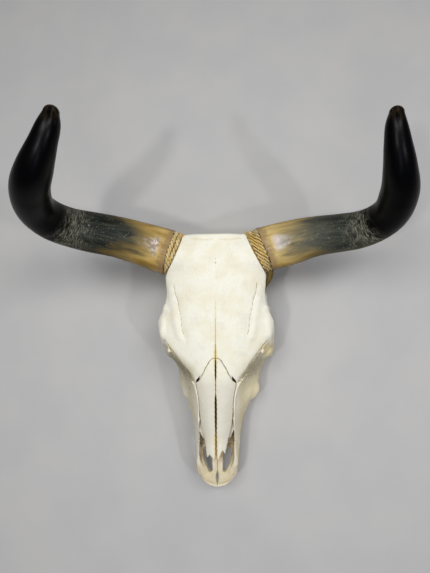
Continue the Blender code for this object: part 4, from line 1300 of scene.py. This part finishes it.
def bone_material():
    """Dry cleaned bone: cream, with warm and grey clouds, stains, golden seams and pores, painted
    shade in recesses, on the flanks and in creases, and painted warm light on the cheeks.
    """
    m = Shade("bone_weathered", Specular_IOR_Level=0.35)
    where = m.place()
    along = m.place((1, 0.25, 1))
    m.colour = m.mix(m.span(m.noise(where, 34, 4.0), 0.40, 0.68), (245, 243, 224), (240, 235, 209))
    m.paint(m.span(m.noise(where, 19, 3.0), 0.52, 0.74, 0.0, 0.35), (226, 223, 210))
    m.paint(m.span(m.noise(along, 3.2, 4.0), 0.5, 0.75, 0.0, 0.16), (214, 204, 178))
    # olive stain on the sides of the face, together with painted shade, stronger on the left
    flank_stain_and_shade = m.mul(m.mark("flank_stain_and_shade"), m.span(m.noise(where, 22, 3.0), 0.25, 0.7, 0.55, 1.0))
    ochre = m.span(m.noise(where, 11, 4.0), 0.56, 0.74)
    m.paint(m.mul(flank_stain_and_shade, 0.75), (203, 191, 156))
    m.paint(m.mul(flank_stain_and_shade, ochre, 0.7), (158, 144, 108))
    # stains on the muzzle and its corners; painted warm light on the cheeks, and painted shade on the nasals
    # and inside the edge of the forehead
    stains_and_painted_light = {
        "muzzle": (0.6, (216, 198, 146)),
        "corner": (0.85, (160, 132, 84)),
        "golden": (0.8, (246, 226, 168)),
        "shade": (0.6, (216, 210, 192)),
        "rim": (0.85, (186, 179, 152)),
    }
    for name, (strength, overlay_colour) in stains_and_painted_light.items():
        m.paint(m.mul(m.mark(name), strength), overlay_colour)
    # painted shade in the striated band before the orbit
    grooved = m.span(m.noise(along, 3.2, 4.0), 0.35, 0.65, 0.35, 0.95)
    m.paint(m.mul(m.mark("shaded_band"), grooved), (126, 114, 84))
    # painted shade, darker the more a point is enclosed by bone; the most open bone is lighter
    recess = m.mark("recess")
    m.paint(m.span(recess, 0.56, 0.80, 0.0, 0.75), (164, 144, 104))
    m.paint(m.span(recess, 0.30, 0.44, 0.55, 0.0), (250, 246, 232))
    inner = m.mix(m.span(m.noise(where, 14, 4.0), 0.3, 0.7), (140, 112, 74), (192, 168, 124))
    m.paint(m.mark("inner"), inner)
    m.paint(m.mul(m.mark("teeth"), 0.8), (196, 176, 128))
    # golden halo and dark line along each seam; in the creases and under the forehead's edge the dark line
    # is painted shadow
    seam_and_shadow_line = m.mark("seam_and_shadow_line")
    gold = m.mark("gold")
    halo = m.mul(m.span(seam_and_shadow_line, 0.6, 5.0, 1.0, 0.0), m.math("ADD", gold, 0.22, True))
    m.paint(halo, (226, 206, 136))
    m.paint(m.span(seam_and_shadow_line, 0.25, 1.1, 0.85, 0.0), m.mix(gold, (96, 80, 52), (108, 84, 24)))
    cells = m.node("TexVoronoi", Vector=where, Scale=1 / PORE_SIZE).outputs["Distance"]
    pores = m.mul(m.span(cells, 0.06, 0.22, 0.3, 0.0), m.span(m.noise(where, 28, 2.0), 0.50, 0.66))
    m.paint(pores, (150, 130, 92))
    rough = m.span(m.noise(where, 9, 2.0), 0.3, 0.7, 0.48, 0.66)
    normal = m.bump(m.noise(where, 4.6, 3.0, 0.55, 0.6), 1.0, 0.8)
    normal = m.bump(m.noise(along, 1.3, 4.0, 0.65), 0.35, 0.5, normal)
    normal = m.bump(pores, -0.25, 0.6, normal)
    return m.finish(rough, m.bump(m.span(seam_and_shadow_line, 0.2, 1.3), 0.6, 0.8, normal))


def horn_material(name, amber_end, turn_black, pale):
    """Polished horn: golden amber at the base, flecked grey-green, then black; on the base a painted
    highlight, painted light on its upper side and painted shade below.
    """
    m = Shade(name, Specular_IOR_Level=0.10)
    straight = m.mark("straight", "Vector")
    along = m.mark("along")
    face = m.mark("face")

    def grain(length, girth, *look):
        return m.noise(m.scaled(straight, (length, girth, girth)), *look)

    streak = grain(0.10, 1, 5.0, 4.0, 0.55, 0.3)
    broad = grain(0.30, 1, 22, 3.0, 0.5, 0.4)
    m.colour = m.mix(m.span(broad, 0.34, 0.64), (150, 118, 44), (222, 188, 110))
    # painted light: paler where the base faces up, strongest on the pale right horn
    m.paint(m.span(face, 0.35, 0.8, 0.0, 0.6 * pale), (234, 210, 146))
    m.paint(m.span(streak, 0.42, 0.72, 0.0, 0.25), (116, 84, 24))
    # painted shade: darker gold towards the underside of the base
    m.paint(m.span(face, 0.05, 0.65, 0.7, 0.0), (112, 88, 14))
    worn = m.add(along, m.sway(m.noise(straight, 9, 4.0), 0.05))
    m.paint(m.span(worn, 0.010, 0.045, 0.65, 0.0), (136, 110, 86))
    # painted highlight on top of the base near the rope, mottled with a dark blue painted reflection
    painted_shine = m.mul(m.span(along, 0.03, 0.075), m.span(along, 0.115, 0.165, 1.0, 0.0),
                  m.span(face, 0.78 + 0.12 * pale, 0.94 + 0.04 * pale), m.span(streak, 0.36, 0.56, 0.6, 1.0),
                  0.8 + 0.15 * pale)
    reflection_mottle = m.span(grain(0.5, 1, 6, 2.0), 0.44, 0.56, 0.0, 1 - pale)
    m.paint(painted_shine, m.mix(reflection_mottle, (252, 242, 234), (88, 88, 112)))
    amber = m.colour
    m.colour = m.mix(m.span(streak, 0.35, 0.72), (22 + 11 * pale, 27 + 11 * pale, 24 + 11 * pale),
                     (50 + 16 * pale, 53 + 15 * pale, 45 + 12 * pale))
    m.paint(m.span(along, amber_end, turn_black - 0.1, 0.4 * pale, 0.0), (122, 122, 106))
    m.paint(m.span(face, 0.0, 0.55, 0.5, 0.0), (108, 104, 64))
    veins = grain(0.16, 1, 13, 3.0, 0.6, 0.6)
    m.paint(m.span(veins, 0.42, 0.60, 0.0, 0.85 - 0.6 * pale), (14, 16, 17))
    reach = m.add(along, m.sway(broad, 0.30), m.sway(streak, 0.07), m.span(face, 0.3, 1.0, -0.05, 0.06))
    m.colour = m.mix(m.span(reach, amber_end - 0.11, amber_end + 0.10), amber, m.colour)
    black = m.span(m.add(along, m.sway(broad, 0.07)), turn_black - 0.05, turn_black + 0.01)
    m.paint(black, (2, 2, 3))
    arcs = m.span(grain(1, 0.12, 1.3, 3.0, 0.6, 0.8), 0.47, 0.59)
    fleck = m.mul(arcs, m.span(m.noise(straight, 15, 2.0), 0.32, 0.54),
                  m.span(along, turn_black - 0.17, turn_black - 0.06),
                  m.span(along, turn_black - 0.02, turn_black + 0.05, 1.0, 0.0))
    m.paint(m.mul(fleck, 0.75), (150, 148, 128))
    specks = m.mul(m.span(grain(1, 0.6, 1.7, 2.0, 0.5), 0.66, 0.72),
                   m.span(reach, amber_end, amber_end + 0.1),
                   m.span(along, turn_black - 0.06, turn_black, 0.6, 0.0))
    m.paint(specks, (176, 176, 160))
    m.paint(m.mul(m.span(along, 0.93, 0.995), m.span(streak, 0.40, 0.62), 0.5), (70, 58, 36))
    dull = m.mul(m.span(along, 0.13, 0.20), m.span(along, turn_black, turn_black + 0.1, 1.0, 0.0), 0.18)
    normal = m.bump(grain(0.3, 1, 5.0, 3.0), 0.5, 0.15)
    return m.finish(m.add(m.span(along, 0.13, 0.22, 0.20, 0.33), dull), m.bump(fleck, 0.2, 0.5, normal))


def rope_material():
    """Golden plant fibre, with painted shade in the creases between the cords."""
    m = Shade("rope_fibre", Specular_IOR_Level=0.3, Sheen_Weight=0.15)
    where = m.place()
    fibre = m.node("SeparateXYZ", Vector=m.mark("fibre", "Vector")).outputs
    lines = m.add(m.mul(fibre["Y"], 2.4), m.mul(fibre["X"], 0.7))
    thread = m.add(m.mul(m.math("SINE", m.mul(lines, 2.2)), 0.20), m.noise(where, 1.1, 3.0, 0.6))
    m.colour = m.mix(m.span(thread, 0.30, 0.72), (188, 150, 58), (240, 210, 118))
    m.paint(m.mul(m.span(fibre["Z"], 0.1, 1.6), 0.8), (246, 234, 196))
    m.paint(m.span(m.noise(where, 9, 2.0), 0.5, 0.75, 0.0, 0.35), (160, 122, 44))
    # painted shade: darker the deeper a point lies under the crest of the wrap
    m.paint(m.span(m.mark("depth"), 0.14, 0.70, 0.0, 0.85), (118, 84, 26))
    return m.finish(0.62, m.bump(thread, 0.5, 0.7))


def tail_material():
    """Darker, stained fibre."""
    m = Shade("rope_tail_fibre", Specular_IOR_Level=0.3)
    thread = m.noise(m.place(), 1.2, 3.0, 0.6)
    tint = m.node("SeparateXYZ", Vector=m.mark("fibre", "Vector")).outputs["Z"]
    m.colour = m.mix(m.span(thread, 0.3, 0.7), (66, 52, 20), (126, 106, 54))
    m.paint(m.mul(m.span(tint, 0.0, 0.6), 0.3), (150, 124, 66))
    return m.finish(0.7, m.bump(thread, 0.4, 0.7))


def floor_material():
    """Plain pale floor with a barely visible mottling."""
    m = Shade("floor_plain", Specular_IOR_Level=0.25)
    where = m.place()
    m.colour = m.mix(m.span(m.noise(where, 160, 3.0), 0.3, 0.7), (192, 192, 190), (198, 197, 193))
    return m.finish(0.7, m.bump(m.noise(where, 14, 3.0), 0.3, 0.15))


# Scene

def add_camera():
    """Camera of the photograph, placed in the skull frame and turned with the skull."""
    pitch, yaw, roll = (math.radians(k) for k in CAMERA_TURN)
    turn = Matrix.Rotation(pitch, 3, "X") @ Matrix.Rotation(yaw, 3, "Y") @ Matrix.Rotation(roll, 3, "Z")
    eye = CAMERA_TARGET + CAMERA_DISTANCE * np.array([[turn[0][2], -turn[1][2], turn[2][2]]])
    data = bpy.data.cameras.new("camera")
    data.sensor_fit = "VERTICAL"
    data.sensor_height = 36.0
    data.lens = FOCAL_SHARE * data.sensor_height
    camera = add_object("camera", data)
    whole = (Matrix.Rotation(REST_TILT, 3, "X") @ turn).to_4x4()
    whole.translation = Vector(to_world(eye)[0])
    camera.matrix_world = whole
    bpy.context.scene.camera = camera


def add_light(name, place, target, size, power, colour):
    """Soft rectangular light aimed at a point."""
    data = bpy.data.lights.new(name, "AREA")
    data.shape = "RECTANGLE"
    data.size, data.size_y = size
    data.energy = power
    data.color = colour
    light = add_object(name, data)
    light.location = place
    light.rotation_euler = (Vector(target) - light.location).to_track_quat("-Z", "Y").to_euler()


def add_stage():
    """Floor, soft lights and a dim even surrounding."""
    mesh = bpy.data.meshes.new("floor")
    mesh.from_pydata([(-4, -4, 0), (4, -4, 0), (4, 4, 0), (-4, 4, 0)], [], [(0, 1, 2, 3)])
    mesh.materials.append(floor_material())
    floor = add_object("floor", mesh)
    floor.location.z = -FLOOR_GAP
    middle = (0, 0.05, 0.1)
    add_light("key_left", (-0.35, 0.35, 2.1), middle, (0.4, 1.0), 15.8, (0.98, 0.98, 1.0))
    add_light("key_right", (0.75, 0.5, 2.05), middle, (0.4, 1.0), 13.6, (0.99, 0.985, 1.0))
    add_light("window_front", (0.05, -1.7, 2.1), middle, (0.6, 1.1), 5, (0.74, 0.82, 1.0))
    add_light("glint_left", (1.38, -0.68, 2.1), (-0.15, 0.15, 0.15), (0.14, 0.14), 8, (0.92, 0.9, 1.0))
    add_light("glint_right", (-0.58, -0.49, 2.1), (0.12, 0.15, 0.15), (0.14, 0.14), 7.5, (1.0, 0.97, 0.96))
    world = bpy.data.worlds.new("surround")
    bpy.context.scene.world = world
    world.use_nodes = True
    background = world.node_tree.nodes["Background"]
    background.inputs["Color"].default_value = (0.92, 0.94, 1.0, 1.0)
    background.inputs["Strength"].default_value = 0.09
    bpy.context.scene.view_settings.view_transform = "Standard"


def place(piece, node, slot):
    """Rides a piece on the skull in place of its CAD node."""
    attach(piece, "root")
    if node:
        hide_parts(node)


def build():
    """All pieces of the object."""
    bone = bone_material()
    field, axes = skull_grid()
    # how enclosed each point is by bone, for the painted shade in recesses
    occupied = np.clip(0.5 - field / (2 * VOXEL), 0, 1).astype(np.float32)
    hollow_grid = blurred(occupied, int(round(HOLLOW_REACH / VOXEL)))
    for name, part, local in bone_fields(field, axes):
        points, quads = surface(part, local)
        marks = bone_marks(points, hollow_grid, axes)
        place(new_piece(name + "_bone", lean(points), quads, bone, marks), name, "bone")
    for name, side in (("nasal_left", -1), ("nasal_right", 1)):
        place(nasal_bone(name + "_bone", side, bone, hollow_grid, axes), name, "bone")
    rope = rope_material()
    for side, (stations, wrap, thread, seed, look) in HORNS.items():
        polished_and_painted = horn_material("horn_" + side + "_polished", *look)
        sheath = horn_piece("horn_" + side + "_sheath", stations, wrap, seed, polished_and_painted)
        place(sheath, "horn_" + side, "horn")
        cords = rope_piece("rope_" + side + "_cords", stations, wrap, thread, seed, rope)
        place(cords, "rope_wrap_" + side, "rope")
    place(rope_tail("rope_right_tail", tail_material()), None, "rope")
    tufts = [tube for tuft in TUFTS for tube in rope_tuft(*tuft)]
    place(join_tubes("rope_frayed_ends", tufts, rope), None, "rope")


add_camera()
add_stage()
build()
